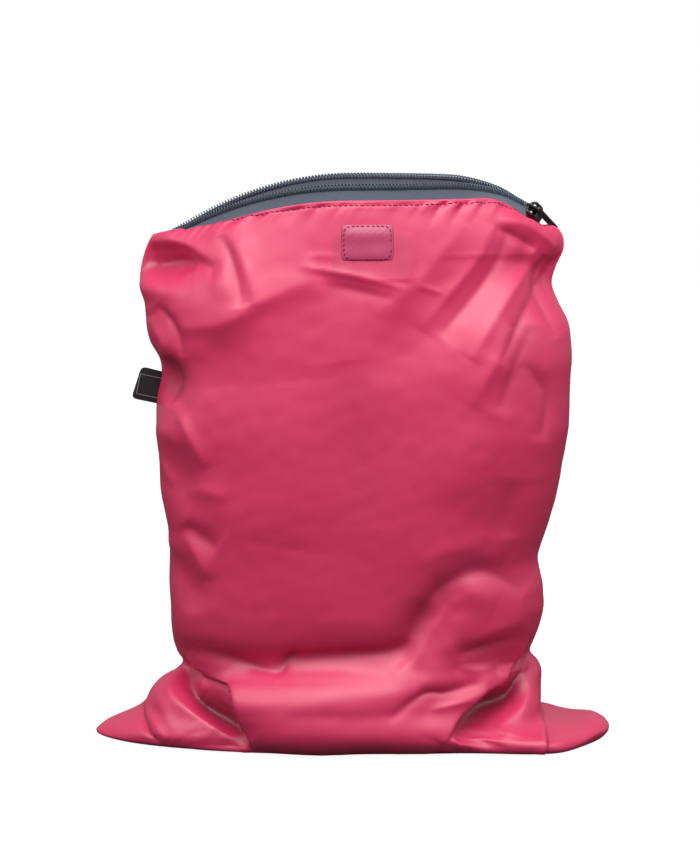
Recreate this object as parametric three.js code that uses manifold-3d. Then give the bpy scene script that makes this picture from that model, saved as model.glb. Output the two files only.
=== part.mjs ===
// A zip-top wet bag of coated nylon, standing open on its folded base.
// Two panels, sewn together down the sides and along the bottom, make one hollow body.
// The mouth carries a coil zip whose slider is parked at the right end.
// Units are millimetres. X runs from the bag's left to its right, Y from front to back, Z up.
import * as THREE from "three";
import { mergeVertices } from "three/addons/utils/BufferGeometryUtils.js";
import Module from "manifold-3d";

const wasm = await Module();
wasm.setup();

// Driving sizes of the bag.
const rimHeight = 317; // floor to the hem at the middle of the mouth
const baseWidth = 302; // tip to tip of the two bottom corners
const bellyDepth = 124; // front to back at the fullest section
const wall = 1.2; // coated nylon
const gap = 0.3; // between pieces that are sewn or seated together

// Zip.
const tapeThickness = 1.0;
const tapeTuck = 5; // tape hidden behind the hem
const tapeShow = 6.2; // tape seen above the hem at the middle of the mouth
const tapeShowAtEnds = 1.2;
const coilRadius = 1.5;
const coilSides = 6;

// Slider and its pull.
const sliderLength = 12.5;
const sliderWidth = 8.6;
const plateThickness = 1.1;
const channelHeight = 3.2; // between the two plates
const wedgeLength = 3.4; // the post that parts the two chains
const wedgeWidth = 2.4;
const flangeThickness = 0.9; // the rails along both sides of the nose
const noseWidth = 5.5;
const tailWidth = 5.8;
const bridgeLength = 9;
const bridgeWidth = 2.4;
const bridgeThickness = 1.2;
const bridgeHole = 2.6; // clear height under the bridge
const sliderDrop = 40; // degrees that the nose points down
const sliderTurn = 30; // degrees that the nose points to the back
const sliderBack = 7.5; // its middle, short of the mouth's right end
const pullLength = 18;
const pullWidth = 6;
const pullThickness = 1.4;
const pullCorner = 1.6;
const pullEye = 1.3; // radius of the hole near its free end
const pullEyeBack = 4.2; // from that end to the hole's middle
const pullWindow = 6.2; // length of the slot that the bridge passes through
const pullRest = -3; // degrees between the lying pull and the slider's plate, less than 0 is nearer

// Patch on the front, and the side label.
const patchWidth = 29;
const patchHeight = 20;
const patchAcross = 8.3; // patch centre, right of the bag's middle
const patchBelow = 23; // patch centre, below the hem at the middle of the mouth
const patchThickness = 1.2;
const patchCrown = 1.6; // how far its middle stands proud of its edges
const labelLength = 16;
const labelHeight = 18.5;
const labelThickness = 1.6;
const labelUp = 205; // middle of the label's sewn edge, above the floor
const labelRise = 3.6; // how much higher the free end is than the sewn end
const labelLean = 6; // how far the free end's foot stands out past its top
const labelCorner = 3.2;
const labelSeat = 0.5; // the label's sewn edge, clear of the seam

const halfWidth = baseWidth / 2;
const halfDepth = bellyDepth / 2;
const front = -1; // the side of the seam plane that a panel lies on, along Y
const back = 1;

// Horizontal sections of the body from the floor to the rim.
// up: height at the left seam, the middle and the right seam, as shares of rimHeight.
// left, right: how far the seams lie from the middle, as shares of halfWidth.
// front, back: depths, as shares of halfDepth.
// squareLeft, squareRight: 2 is an ellipse, more is boxier. lens: 1 is round at the seams, 2 is pointed.
const sectionColumns = [
  "upLeft", "upMid", "upRight", "left", "right", "front", "back", "squareLeft", "squareRight", "lens",
];
const sections = [
  [0.0, 0.0, 0.0, 0.97, 0.97, 0.8, 0.8, 1.95, 2.5, 1.0],
  [0.006, 0.006, 0.006, 1.0, 1.0, 0.9, 0.9, 1.95, 2.5, 1.0],
  [0.014, 0.014, 0.012, 0.99, 0.99, 0.95, 0.94, 1.95, 2.45, 1.0],
  [0.026, 0.027, 0.02, 0.95, 0.94, 0.975, 0.965, 2.0, 2.4, 1.0],
  [0.04, 0.042, 0.028, 0.87, 0.79, 0.99, 0.98, 2.1, 2.4, 1.0],
  [0.057, 0.059, 0.048, 0.815, 0.74, 1.0, 0.99, 2.2, 2.4, 1.0],
  [0.079, 0.08, 0.074, 0.79, 0.735, 1.0, 0.99, 2.3, 2.4, 1.0],
  [0.101, 0.101, 0.1, 0.752, 0.735, 1.0, 0.98, 2.3, 2.4, 1.0],
  [0.12, 0.121, 0.122, 0.695, 0.735, 0.99, 0.965, 2.3, 2.4, 1.0],
  [0.137, 0.14, 0.14, 0.66, 0.72, 0.975, 0.95, 2.35, 2.4, 1.0],
  [0.155, 0.16, 0.157, 0.68, 0.69, 0.96, 0.94, 2.4, 2.4, 1.0],
  [0.177, 0.182, 0.177, 0.695, 0.704, 0.945, 0.93, 2.45, 2.45, 1.0],
  [0.207, 0.21, 0.207, 0.703, 0.727, 0.94, 0.93, 2.5, 2.5, 1.0],
  [0.244, 0.245, 0.244, 0.705, 0.741, 0.94, 0.94, 2.5, 2.5, 1.0],
  [0.29, 0.29, 0.29, 0.71, 0.734, 0.95, 0.95, 2.5, 2.5, 1.0],
  [0.34, 0.34, 0.34, 0.707, 0.716, 0.955, 0.955, 2.5, 2.5, 1.0],
  [0.395, 0.395, 0.395, 0.711, 0.75, 0.96, 0.96, 2.5, 2.5, 1.0],
  [0.457, 0.457, 0.457, 0.739, 0.788, 0.965, 0.96, 2.5, 2.5, 1.0],
  [0.52, 0.52, 0.52, 0.744, 0.811, 0.965, 0.955, 2.5, 2.5, 1.0],
  [0.58, 0.58, 0.58, 0.754, 0.828, 0.96, 0.95, 2.5, 2.5, 1.0],
  [0.632, 0.632, 0.632, 0.75, 0.832, 0.95, 0.94, 2.45, 2.45, 1.0],
  [0.672, 0.673, 0.672, 0.732, 0.836, 0.94, 0.925, 2.4, 2.4, 1.0],
  [0.702, 0.705, 0.702, 0.738, 0.84, 0.93, 0.91, 2.4, 2.4, 1.02],
  [0.733, 0.738, 0.733, 0.773, 0.836, 0.92, 0.9, 2.35, 2.35, 1.06],
  [0.77, 0.776, 0.77, 0.788, 0.824, 0.905, 0.88, 2.3, 2.3, 1.12],
  [0.807, 0.815, 0.807, 0.788, 0.785, 0.885, 0.86, 2.25, 2.25, 1.2],
  [0.84, 0.851, 0.84, 0.81, 0.76, 0.865, 0.835, 2.2, 2.2, 1.3],
  [0.871, 0.885, 0.871, 0.805, 0.775, 0.84, 0.81, 2.15, 2.15, 1.45],
  [0.899, 0.919, 0.9, 0.79, 0.802, 0.815, 0.785, 2.1, 2.1, 1.6],
  [0.92, 0.951, 0.925, 0.771, 0.801, 0.79, 0.76, 2.05, 2.05, 1.75],
  [0.93, 0.979, 0.942, 0.75, 0.775, 0.765, 0.735, 2.0, 2.0, 1.85],
  [0.92, 1.0, 0.946, 0.715, 0.735, 0.742, 0.71, 2.0, 2.0, 1.9],
].map((row) => Object.fromEntries(sectionColumns.map((name, i) => [name, row[i]])));
const rimRow = sections.length - 1;
const archPower = 2.4; // the rim rises from its left end by this power of its openness
const archSteps = { foot: 0.3, head: 0.75 }; // and from its right end between these opennesses
const baseFlat = 5; // folds fade out over this height above the floor
const hemFlat = 7; // and over this depth below the rim
const seamFade = 0.1; // and over this share of the way in from the side seams
const bodyRow = 6; // the table row where the upright body starts, above the spread corners

// Folds and dents, each along a straight line seen from the front.
// x as a share of halfWidth and z of rimHeight at both ends, width and depth as shares of halfDepth.
// Depth goes level into the bag, and below zero it is a ridge. Slide draws the upper bank down over it.
const foldColumns = ["name", "x0", "z0", "x1", "z1", "width", "depth", "slide"];
const named = (row) => Object.fromEntries(row.map((value, i) => [foldColumns[i], value]));
const frontFolds = [
  ["left pocket", -0.69, 0.145, -0.38, 0.0, 0.26, 0.2, 0.03],
  ["right pocket", 0.71, 0.155, 0.42, 0.03, 0.22, 0.2, 0.03],
  ["waist crease", -0.74, 0.16, 0.26, 0.172, 0.19, 0.15, 0.03],
  ["waist rise", 0.16, 0.165, 0.42, 0.31, 0.18, 0.1, 0.0],
  ["belly roll", -0.46, 0.115, 0.42, 0.12, 0.2, -0.05, 0.0],
  ["right hip groove", 0.74, 0.19, 0.36, 0.15, 0.16, 0.08, 0.0],
  ["right hem groove", 0.22, 0.08, 0.52, 0.125, 0.16, 0.06, 0.0],
  ["left shoulder valley", -0.86, 0.885, -0.5, 0.872, 0.18, 0.12, 0.02],
  ["left shoulder bulge", -0.86, 0.835, -0.5, 0.83, 0.18, -0.06, 0.0],
  ["left ridge", -0.43, 0.95, -0.48, 0.76, 0.18, -0.06, 0.0],
  ["left flank hollow", -0.72, 0.71, -0.68, 0.6, 0.17, 0.08, 0.0],
  ["left flank crease", -0.7, 0.56, -0.6, 0.44, 0.17, 0.05, 0.0],
  ["left hip crease", -0.7, 0.36, -0.58, 0.26, 0.17, 0.06, 0.0],
  ["right shoulder fold", 0.8, 0.85, 0.6, 0.9, 0.18, 0.08, 0.02],
  ["right chest hollow", 0.6, 0.93, 0.1, 0.7, 0.3, 0.06, 0.0],
  ["right flank ridge", 0.62, 0.82, 0.42, 0.45, 0.28, -0.05, 0.0],
].map(named);
const backFolds = [
  ["left pocket", -0.69, 0.145, -0.42, 0.01, 0.28, 0.17, 0.02],
  ["right pocket", 0.71, 0.155, 0.43, 0.02, 0.28, 0.17, 0.02],
  ["waist crease", -0.45, 0.175, 0.72, 0.165, 0.22, 0.12, 0.02],
  ["left shoulder valley", -0.82, 0.87, -0.4, 0.86, 0.22, 0.09, 0.02],
  ["right shoulder valley", 0.82, 0.85, 0.42, 0.885, 0.22, 0.09, 0.02],
  ["middle hollow", -0.3, 0.86, 0.2, 0.5, 0.36, 0.06, 0.0],
  ["left flank ridge", -0.5, 0.75, -0.36, 0.36, 0.3, -0.05, 0.0],
].map(named);

// Gathers hang from the stitched hem in an even run of small pleats that dies out below it.
const gatherPleats = 5;
const gatherDepth = 0.9;
const gatherFall = 26;

// How far along the mouth the zip goes to each side, from 0 at the middle to 1 at its ends.
const tapeReach = { left: 0.84, right: 0.83 };
const chainReach = { left: 0.835, right: 0.7 };
const drawnFrom = 0.35; // from here on the slider draws the chains together
const tapeGive = 0.92; // how far the tape's top follows the chain, as a share
const sliderAside = 1.5; // the slider's middle, behind the seam plane

// Mesh steps. Rows are stations between table rows.
const zipColumns = 20;
const endColumns = 10;
const frontColumns = 33;
const backColumns = 23;
const baseStations = [-1, -0.55, -0.2];
const halfStepRows = { from: 13, to: 19 }; // widely spaced rows get one more in between
const patchGrid = { columns: 7, rows: 5 };
const labelRootPoints = 4;
const curveSteps = 4; // straight pieces in a drawn curve or arc
const smallStep = 0.01; // of the way across or of a row, for slopes

// A table column at a fractional row, by a Catmull-Rom curve.
function column(name, row) {
  const i = Math.min(Math.floor(row), rimRow - 1);
  const f = row - i;
  const value = (k) => sections[THREE.MathUtils.clamp(k, 0, rimRow)][name];
  const [a, b, c, d] = [value(i - 1), value(i), value(i + 1), value(i + 2)];
  return b + 0.5 * f * (c - a + f * (2 * a - 5 * b + 4 * c - d + f * (3 * (b - c) + d - a)));
}

// A point of the plain loft. Across runs from -1 at the left seam to 1 at the right one.
// Rows below zero lie on the flat base, between the bottom seam at -1 and the base's edge at 0.
function loftPoint(side, across, row) {
  const station = Math.max(row, 0);
  const angle = (Math.PI * (1 - across)) / 2;
  const cosine = Math.cos(angle);
  const sine = Math.max(Math.sin(angle), 0);
  const leftHalf = cosine < 0;
  const power = 2 / column(leftHalf ? "squareLeft" : "squareRight", station);
  const reach = column(leftHalf ? "left" : "right", station) * halfWidth;
  const x = Math.sign(cosine) * Math.abs(cosine) ** power * reach;
  const depth = column(side === front ? "front" : "back", station) * halfDepth;
  const spread = row < 0 ? 1 + row : 1;
  const y = side * (gap / 2 + spread * depth * sine ** (power * column("lens", station)));
  const upEnd = column(leftHalf ? "upLeft" : "upRight", station);
  const stepped = THREE.MathUtils.smoothstep(sine, archSteps.foot, archSteps.head);
  const arch = leftHalf ? sine ** archPower : stepped;
  const z = rimHeight * (upEnd + (column("upMid", station) - upEnd) * arch);
  return new THREE.Vector3(x, y, row < 0 ? 0 : z);
}

// The outward normal of a surface function of across and row, by small steps.
function normalOf(surface, side, across, row) {
  const step = smallStep;
  const clampAcross = (a) => THREE.MathUtils.clamp(a, -1, 1);
  const clampRow = (r) => THREE.MathUtils.clamp(r, -1, rimRow);
  const along = surface(side, clampAcross(across + step), row).sub(
    surface(side, clampAcross(across - step), row),
  );
  const upward = surface(side, across, clampRow(row + step)).sub(
    surface(side, across, clampRow(row - step)),
  );
  const normal = along.cross(upward).multiplyScalar(-side);
  if (row <= -1) normal.set(0, 0, -1);
  if (Math.abs(across) >= 1) normal.y = 0;
  return normal.normalize();
}

// How far one fold moves a point: level into the bag, and down across the fold.
function foldMove(fold, point, level) {
  const start = new THREE.Vector2(fold.x0 * halfWidth, fold.z0 * rimHeight);
  const line = new THREE.Vector2(fold.x1 * halfWidth, fold.z1 * rimHeight).sub(start);
  const from = new THREE.Vector2(point.x, point.z).sub(start);
  const along = THREE.MathUtils.clamp(from.dot(line) / line.lengthSq(), 0, 1);
  const away = from.sub(line.clone().multiplyScalar(along));
  const uphill = new THREE.Vector2(-line.y, line.x).normalize();
  if (uphill.y < 0) uphill.negate();
  const width = fold.width * halfDepth;
  const taper = Math.sin(Math.PI * THREE.MathUtils.clamp(along, 0.001, 0.999)) ** 0.6;
  const bowl = Math.exp(-((away.length() / width) ** 2)) * taper;
  const bankGap = away.clone().sub(uphill.clone().multiplyScalar(width)).length() / width;
  const bank = Math.exp(-(bankGap ** 2)) * taper;
  const move = level.clone().multiplyScalar(-fold.depth * halfDepth * bowl);
  const slide = fold.slide * halfDepth * bank;
  return move.add(new THREE.Vector3(-uphill.x * slide, 0, -uphill.y * slide));
}

// The bag's outer skin: the loft, its folds, and the gathers under the hem.
function skinPoint(side, across, row) {
  const point = loftPoint(side, across, row);
  if (row <= 0) return point;
  const normal = normalOf(loftPoint, side, across, row);
  const rim = loftPoint(side, across, rimRow);
  const below = rim.z - point.z;
  const fade =
    THREE.MathUtils.smoothstep(point.z, 0, baseFlat) *
    THREE.MathUtils.smoothstep(1 - Math.abs(across), 0, seamFade) *
    (row > rimRow - 4 ? THREE.MathUtils.smoothstep(below, 0, hemFlat) : 1);
  const level = normal.clone().setZ(0);
  const move = new THREE.Vector3();
  for (const fold of side === front ? frontFolds : backFolds) move.add(foldMove(fold, point, level));
  const pleat = Math.cos(gatherPleats * Math.PI * across) * Math.exp(-Math.max(below, 0) / gatherFall);
  move.addScaledVector(normal, gatherDepth * pleat);
  return point.addScaledVector(move, fade);
}

// A closed solid between an outer and an inner grid of points.
// Columns run to the right and rows run up, seen from outside.
function sheetSolid(rows, columns, outer, inner) {
  const vertices = [...outer, ...inner].flatMap((p) => [p.x, p.y, p.z]);
  const at = (r, c, layer) => layer * rows * columns + r * columns + c;
  const index = [];
  const quad = (a, b, c, d) => index.push(a, b, c, a, c, d);
  for (let r = 0; r < rows - 1; r++) {
    for (let c = 0; c < columns - 1; c++) {
      quad(at(r, c, 0), at(r, c + 1, 0), at(r + 1, c + 1, 0), at(r + 1, c, 0));
      quad(at(r, c, 1), at(r + 1, c, 1), at(r + 1, c + 1, 1), at(r, c + 1, 1));
    }
    quad(at(r, 0, 0), at(r + 1, 0, 0), at(r + 1, 0, 1), at(r, 0, 1));
    const end = columns - 1;
    quad(at(r, end, 1), at(r + 1, end, 1), at(r + 1, end, 0), at(r, end, 0));
  }
  for (let c = 0; c < columns - 1; c++) {
    quad(at(0, c, 1), at(0, c + 1, 1), at(0, c + 1, 0), at(0, c, 0));
    const top = rows - 1;
    quad(at(top, c, 0), at(top, c + 1, 0), at(top, c + 1, 1), at(top, c, 1));
  }
  const geometry = new THREE.BufferGeometry();
  geometry.setAttribute("position", new THREE.Float32BufferAttribute(vertices, 3));
  geometry.setIndex(index);
  geometry.computeVertexNormals();
  return geometry;
}

// Even steps from one value to another, both included.
function steps(from, to, count) {
  return Array.from({ length: count }, (_, i) => from + ((to - from) * i) / (count - 1));
}

// One panel, from the bottom seam across the base and up to the hem.
function panelGeometry(side, columns) {
  const stations = [...baseStations];
  for (let row = 0; row <= rimRow; row++) {
    stations.push(row);
    if (row >= halfStepRows.from && row < halfStepRows.to) stations.push(row + 0.5);
  }
  const outer = [];
  const inner = [];
  for (const row of stations) {
    for (const a of steps(-1, 1, columns)) {
      const across = -side * a;
      const point = skinPoint(side, across, row);
      outer.push(point);
      inner.push(point.clone().addScaledVector(normalOf(skinPoint, side, across, row), -wall));
    }
  }
  return sheetSolid(stations.length, columns, outer, inner);
}

// Heights in the slider's own frame: X to the nose, Y to the back, Z out through the bridge.
const sliderHalf = sliderLength / 2;
const plateTop = channelHeight / 2 + plateThickness;
const hingeHeight = plateTop + bridgeHole / 2;

// The slider's place: over the right end of the mouth, with its nose just clear of the hem.
const slider = new THREE.Group();
const drop = THREE.MathUtils.degToRad(sliderDrop);
const mouthEnd = loftPoint(front, 1, rimRow);
const noseReach = Math.sin(drop) * sliderHalf + Math.cos(drop) * plateTop;
slider.rotation.order = "ZYX";
slider.rotation.set(0, drop, THREE.MathUtils.degToRad(sliderTurn));
slider.position.set(mouthEnd.x - sliderBack, sliderAside, mouthEnd.z + gap + noseReach);
slider.updateMatrix();

// Where a chain enters the slider's open end.
function chainEntry(side) {
  const back = sliderHalf + coilRadius;
  return new THREE.Vector3(-back, side * (coilRadius + gap), 0).applyMatrix4(slider.matrix);
}

// The height of the slider's underside, and a gap below it, over a place in plan.
function underSlider(x, y) {
  const normal = new THREE.Vector3(0, 0, 1).transformDirection(slider.matrix);
  const from = slider.position;
  const level = plateTop + gap + normal.x * (x - from.x) + normal.y * (y - from.y);
  return from.z - level / normal.z;
}

// The line that the zip follows: the rim, drawn in by a distance in plan.
function zipLine(side, across, inset) {
  const before = loftPoint(side, across - smallStep, rimRow);
  const along = loftPoint(side, across + smallStep, rimRow).sub(before);
  const inward = new THREE.Vector3(side * along.y, -side * along.x, 0).normalize();
  return loftPoint(side, across, rimRow).addScaledVector(inward, inset);
}

// How much tape shows above the hem. It dips towards both ends.
function tapeHeight(across) {
  const open = Math.sin((Math.PI * (1 - across)) / 2);
  return THREE.MathUtils.lerp(tapeShowAtEnds, tapeShow, THREE.MathUtils.smoothstep(open, 0.2, 0.95));
}

// The centre of the coil, which stands on the tape's top edge until the slider draws it in.
function coilPoint(side, across) {
  const lift = tapeHeight(across) + gap + coilRadius;
  const inset = wall + gap + tapeThickness / 2;
  const free = zipLine(side, across, inset).add(new THREE.Vector3(0, 0, lift));
  return free.lerp(chainEntry(side), THREE.MathUtils.smoothstep(across, drawnFrom, chainReach.right));
}

// The tape's top edge: under the coil, and under the slider where it passes.
function tapeTop(side, across, inset) {
  const free = zipLine(side, across, inset).add(new THREE.Vector3(0, 0, tapeHeight(across)));
  const seat = coilPoint(side, Math.min(across, chainReach.right));
  seat.z -= gap + coilRadius;
  const near = THREE.MathUtils.smoothstep(across, drawnFrom, chainReach.right);
  const past = THREE.MathUtils.smoothstep(across, chainReach.right, tapeReach.right);
  free.lerp(seat, tapeGive * near * (1 - past));
  free.z = Math.min(free.z, seat.z, underSlider(free.x, free.y));
  return free;
}

function tapeGeometry(side) {
  const stations = [
    ...steps(-tapeReach.left, drawnFrom, zipColumns),
    ...steps(drawnFrom, tapeReach.right, endColumns).slice(1),
  ];
  const outer = [];
  const inner = [];
  for (const level of ["foot", "head"]) {
    for (const station of side === front ? stations : stations.toReversed()) {
      for (const [grid, depth] of [[outer, 0], [inner, tapeThickness]]) {
        const inset = wall + gap + depth;
        const foot = zipLine(side, station, inset).add(new THREE.Vector3(0, 0, -tapeTuck));
        grid.push(level === "foot" ? foot : tapeTop(side, station, inset));
      }
    }
  }
  return sheetSolid(2, stations.length, outer, inner);
}

// The chain of teeth as one plain bead that follows the tape into the slider.
function coilGeometry(side) {
  const stations = steps(-chainReach.left, chainReach.right, zipColumns + 4);
  const path = new THREE.CatmullRomCurve3(stations.map((across) => coilPoint(side, across)));
  const section = new THREE.Shape(
    steps(0, coilSides - 1, coilSides).map((i) => {
      const turn = (2 * Math.PI * i) / coilSides;
      return new THREE.Vector2(coilRadius * Math.cos(turn), coilRadius * Math.sin(turn));
    }),
  );
  return new THREE.ExtrudeGeometry(section, {
    extrudePath: path,
    steps: stations.length - 1,
    bevelEnabled: false,
  });
}

// A geometry as a solid for cutting and joining, and back again.
function solidOf(geometry) {
  const bare = new THREE.BufferGeometry();
  const flat = geometry.index ? geometry.toNonIndexed() : geometry;
  bare.setAttribute("position", flat.getAttribute("position"));
  const merged = mergeVertices(bare, 1e-4);
  return new wasm.Manifold(
    new wasm.Mesh({
      numProp: 3,
      vertProperties: merged.getAttribute("position").array,
      triVerts: new Uint32Array(merged.index.array),
    }),
  );
}

function geometryOf(solid) {
  const mesh = solid.getMesh();
  const geometry = new THREE.BufferGeometry();
  geometry.setAttribute("position", new THREE.Float32BufferAttribute(mesh.vertProperties, 3));
  geometry.setIndex([...mesh.triVerts]);
  geometry.computeVertexNormals();
  return geometry;
}

// A flat outline in X and Y, raised from bottom to top along Z.
function slab(shape, bottom, top) {
  const options = { depth: top - bottom, bevelEnabled: false, curveSegments: curveSteps };
  return new THREE.ExtrudeGeometry(shape, options).translate(0, 0, bottom);
}

function roundedBar(x0, x1, halfBreadth, corner) {
  const shape = new THREE.Shape();
  shape.moveTo(x0 + corner, -halfBreadth);
  shape.lineTo(x1 - corner, -halfBreadth);
  shape.absarc(x1 - corner, -halfBreadth + corner, corner, -Math.PI / 2, 0);
  shape.absarc(x1 - corner, halfBreadth - corner, corner, 0, Math.PI / 2);
  shape.absarc(x0 + corner, halfBreadth - corner, corner, Math.PI / 2, Math.PI);
  shape.absarc(x0 + corner, -halfBreadth + corner, corner, Math.PI, 1.5 * Math.PI);
  return shape;
}

// The slider's plate: broad where the two chains enter, narrow and rounded at the nose.
function plateShape() {
  const [nose, tail, side] = [noseWidth / 2, tailWidth / 2, sliderWidth / 2];
  const shoulder = -sliderHalf * 0.2;
  const cheek = -sliderHalf * 0.7;
  const rounding = nose * 0.4;
  const shape = new THREE.Shape();
  shape.moveTo(-sliderHalf, -tail);
  shape.quadraticCurveTo(cheek, -side, shoulder, -side);
  shape.lineTo(sliderHalf - rounding, -nose);
  shape.quadraticCurveTo(sliderHalf, -nose, sliderHalf, 0);
  shape.quadraticCurveTo(sliderHalf, nose, sliderHalf - rounding, nose);
  shape.lineTo(shoulder, side);
  shape.quadraticCurveTo(cheek, side, -sliderHalf, tail);
  return shape;
}

// The bridge that holds the pull: an arch seen from the side, as thick as a strap.
function bridgeGeometry() {
  const reach = bridgeLength / 2;
  const crown = reach * 0.35;
  const top = bridgeHole + bridgeThickness;
  const rooted = -plateThickness / 3;
  const outer = new THREE.Shape();
  outer.moveTo(-reach, rooted);
  outer.lineTo(reach, rooted);
  outer.quadraticCurveTo(reach, top, crown, top);
  outer.lineTo(-crown, top);
  outer.quadraticCurveTo(-reach, top, -reach, rooted);
  const inside = reach - bridgeThickness;
  const hole = new THREE.Path();
  hole.moveTo(-inside, 0);
  hole.quadraticCurveTo(-inside, bridgeHole, -crown, bridgeHole);
  hole.lineTo(crown, bridgeHole);
  hole.quadraticCurveTo(inside, bridgeHole, inside, 0);
  outer.holes.push(hole);
  const arch = slab(outer, -bridgeWidth / 2, bridgeWidth / 2);
  return arch.rotateX(Math.PI / 2).translate(0, 0, plateTop);
}

function sliderGeometry() {
  const inside = channelHeight / 2;
  const reach = inside + plateThickness / 2;
  const wedgeStart = -sliderHalf + plateThickness / 2;
  const wedgeShape = roundedBar(wedgeStart, wedgeStart + wedgeLength, wedgeWidth / 2, wedgeWidth * 0.4);
  const railEnd = sliderHalf - noseWidth * 0.1;
  const railShape = roundedBar(railEnd / 8, railEnd, flangeThickness / 2, flangeThickness * 0.4);
  const railOut = (noseWidth - flangeThickness) / 2;
  const pieces = [
    slab(plateShape(), inside, plateTop),
    slab(plateShape(), -plateTop, -inside),
    slab(wedgeShape, -reach, reach),
    slab(railShape, -reach, reach).translate(0, -railOut, 0),
    slab(railShape, -reach, reach).translate(0, railOut, 0),
  ];
  let solid = solidOf(bridgeGeometry());
  for (const piece of pieces) solid = solid.add(solidOf(piece));
  return geometryOf(solid);
}

// The pull, lying along +X from its hinge at the origin, with a slot round the bridge.
function pullGeometry() {
  const bar = pullThickness / 2;
  const blade = roundedBar(-bar, pullLength, pullWidth / 2, pullCorner);
  const slot = new THREE.Path();
  const slotHalf = bridgeWidth / 2 + gap;
  slot.moveTo(bar, -slotHalf);
  slot.lineTo(bar, slotHalf);
  slot.lineTo(pullWindow, slotHalf);
  slot.lineTo(pullWindow, -slotHalf);
  const eye = new THREE.Path();
  eye.absarc(pullLength - pullEyeBack, 0, pullEye, 0, 2 * Math.PI, true);
  blade.holes.push(slot, eye);
  return slab(blade, -bar, bar);
}

// The table row at which one of its heights is reached, found by halving.
function rowAtHeight(name, height, from = 0) {
  let low = from;
  let high = rimRow - 1;
  while (high - low > 1e-6) {
    const middle = (low + high) / 2;
    if (column(name, middle) * rimHeight < height) low = middle;
    else high = middle;
  }
  return low;
}

// How far across the front lies at a distance from the middle, near the top of the bag.
function acrossAt(x, row) {
  const reach = column(x < 0 ? "left" : "right", row) * halfWidth;
  const power = 2 / column(x < 0 ? "squareLeft" : "squareRight", row);
  const cosine = Math.sign(x) * (Math.abs(x) / reach) ** (1 / power);
  return 1 - (2 * Math.acos(cosine)) / Math.PI;
}

// A small rectangle of nylon, crowned at its middle, that lies on the front panel.
function patchGeometry() {
  const outer = [];
  const inner = [];
  for (const up of steps(-1, 1, patchGrid.rows)) {
    const row = rowAtHeight("upMid", rimHeight - patchBelow + (up * patchHeight) / 2);
    for (const a of steps(-1, 1, patchGrid.columns)) {
      const across = acrossAt(patchAcross + (a * patchWidth) / 2, row);
      const seat = skinPoint(front, across, row);
      const normal = normalOf(skinPoint, front, across, row);
      const crown = patchCrown * (1 - a ** 4) * (1 - up ** 4);
      inner.push(seat.clone().addScaledVector(normal, gap));
      outer.push(seat.clone().addScaledVector(normal, gap + patchThickness + crown));
    }
  }
  return sheetSolid(patchGrid.rows, patchGrid.columns, outer, inner);
}

// Where the left seam stands at a height.
function leftSeamAt(height) {
  return -column("left", rowAtHeight("upLeft", height, bodyRow)) * halfWidth;
}

// A folded label, sewn into the left seam, with rounded corners at its free end.
function labelGeometry() {
  const foot = labelUp - labelHeight / 2;
  const head = labelUp + labelHeight / 2;
  const root = steps(head, foot, labelRootPoints).map(
    (z) => new THREE.Vector2(leftSeamAt(z) - labelSeat, z),
  );
  const free = leftSeamAt(labelUp) - labelLength;
  const corners = [
    new THREE.Vector2(free - labelLean / 2, foot + labelRise),
    new THREE.Vector2(free + labelLean / 2, head + labelRise),
  ];
  const toFoot = root.at(-1).clone().sub(corners[0]).setLength(labelCorner);
  const toHead = root[0].clone().sub(corners[1]).setLength(labelCorner);
  const edge = corners[1].clone().sub(corners[0]).setLength(labelCorner);
  const shape = new THREE.Shape(root);
  shape.lineTo(corners[0].x + toFoot.x, corners[0].y + toFoot.y);
  shape.quadraticCurveTo(...corners[0].toArray(), corners[0].x + edge.x, corners[0].y + edge.y);
  shape.lineTo(corners[1].x - edge.x, corners[1].y - edge.y);
  shape.quadraticCurveTo(...corners[1].toArray(), corners[1].x + toHead.x, corners[1].y + toHead.y);
  return slab(shape, -labelThickness / 2, labelThickness / 2).rotateX(Math.PI / 2);
}

// Finishes.
const nylon = new THREE.MeshStandardMaterial({ color: 0xc8426a, roughness: 0.42, metalness: 0 });
const tapeWeave = new THREE.MeshStandardMaterial({ color: 0x6a707e, roughness: 0.85, metalness: 0 });
const coilPlastic = new THREE.MeshStandardMaterial({ color: 0x38414f, roughness: 0.4, metalness: 0 });
const gunmetal = new THREE.MeshStandardMaterial({ color: 0x35332f, roughness: 0.35, metalness: 0.8 });
const labelBlack = new THREE.MeshStandardMaterial({ color: 0x191618, roughness: 0.8, metalness: 0 });

function mesh(name, geometry, material) {
  const piece = new THREE.Mesh(geometry, material);
  piece.name = name;
  return piece;
}

// The bag.
const bag = new THREE.Group();
bag.add(mesh("front_panel", panelGeometry(front, frontColumns), nylon));
bag.add(mesh("back_panel", panelGeometry(back, backColumns), nylon));
bag.add(mesh("front_zip_tape", tapeGeometry(front), tapeWeave));
bag.add(mesh("back_zip_tape", tapeGeometry(back), tapeWeave));
bag.add(mesh("front_zip_coil", coilGeometry(front), coilPlastic));
bag.add(mesh("back_zip_coil", coilGeometry(back), coilPlastic));
bag.add(mesh("front_patch", patchGeometry(), nylon));
bag.add(mesh("side_label", labelGeometry(), labelBlack));

slider.add(mesh("zip_slider", sliderGeometry(), gunmetal));
const pull = mesh("zip_pull", pullGeometry(), gunmetal);
pull.position.z = hingeHeight;
pull.rotation.y = -THREE.MathUtils.degToRad(pullRest);
slider.add(pull);
bag.add(slider);

export default bag;
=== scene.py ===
# A zip-top wet bag of coated nylon, standing open on its folded base.
# The cloth is laid over the frame's panels, folded by listed strokes and settled by a
# cloth simulation. Lengths are metres, except in the tables of folds, which are millimetres.
import math

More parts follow.
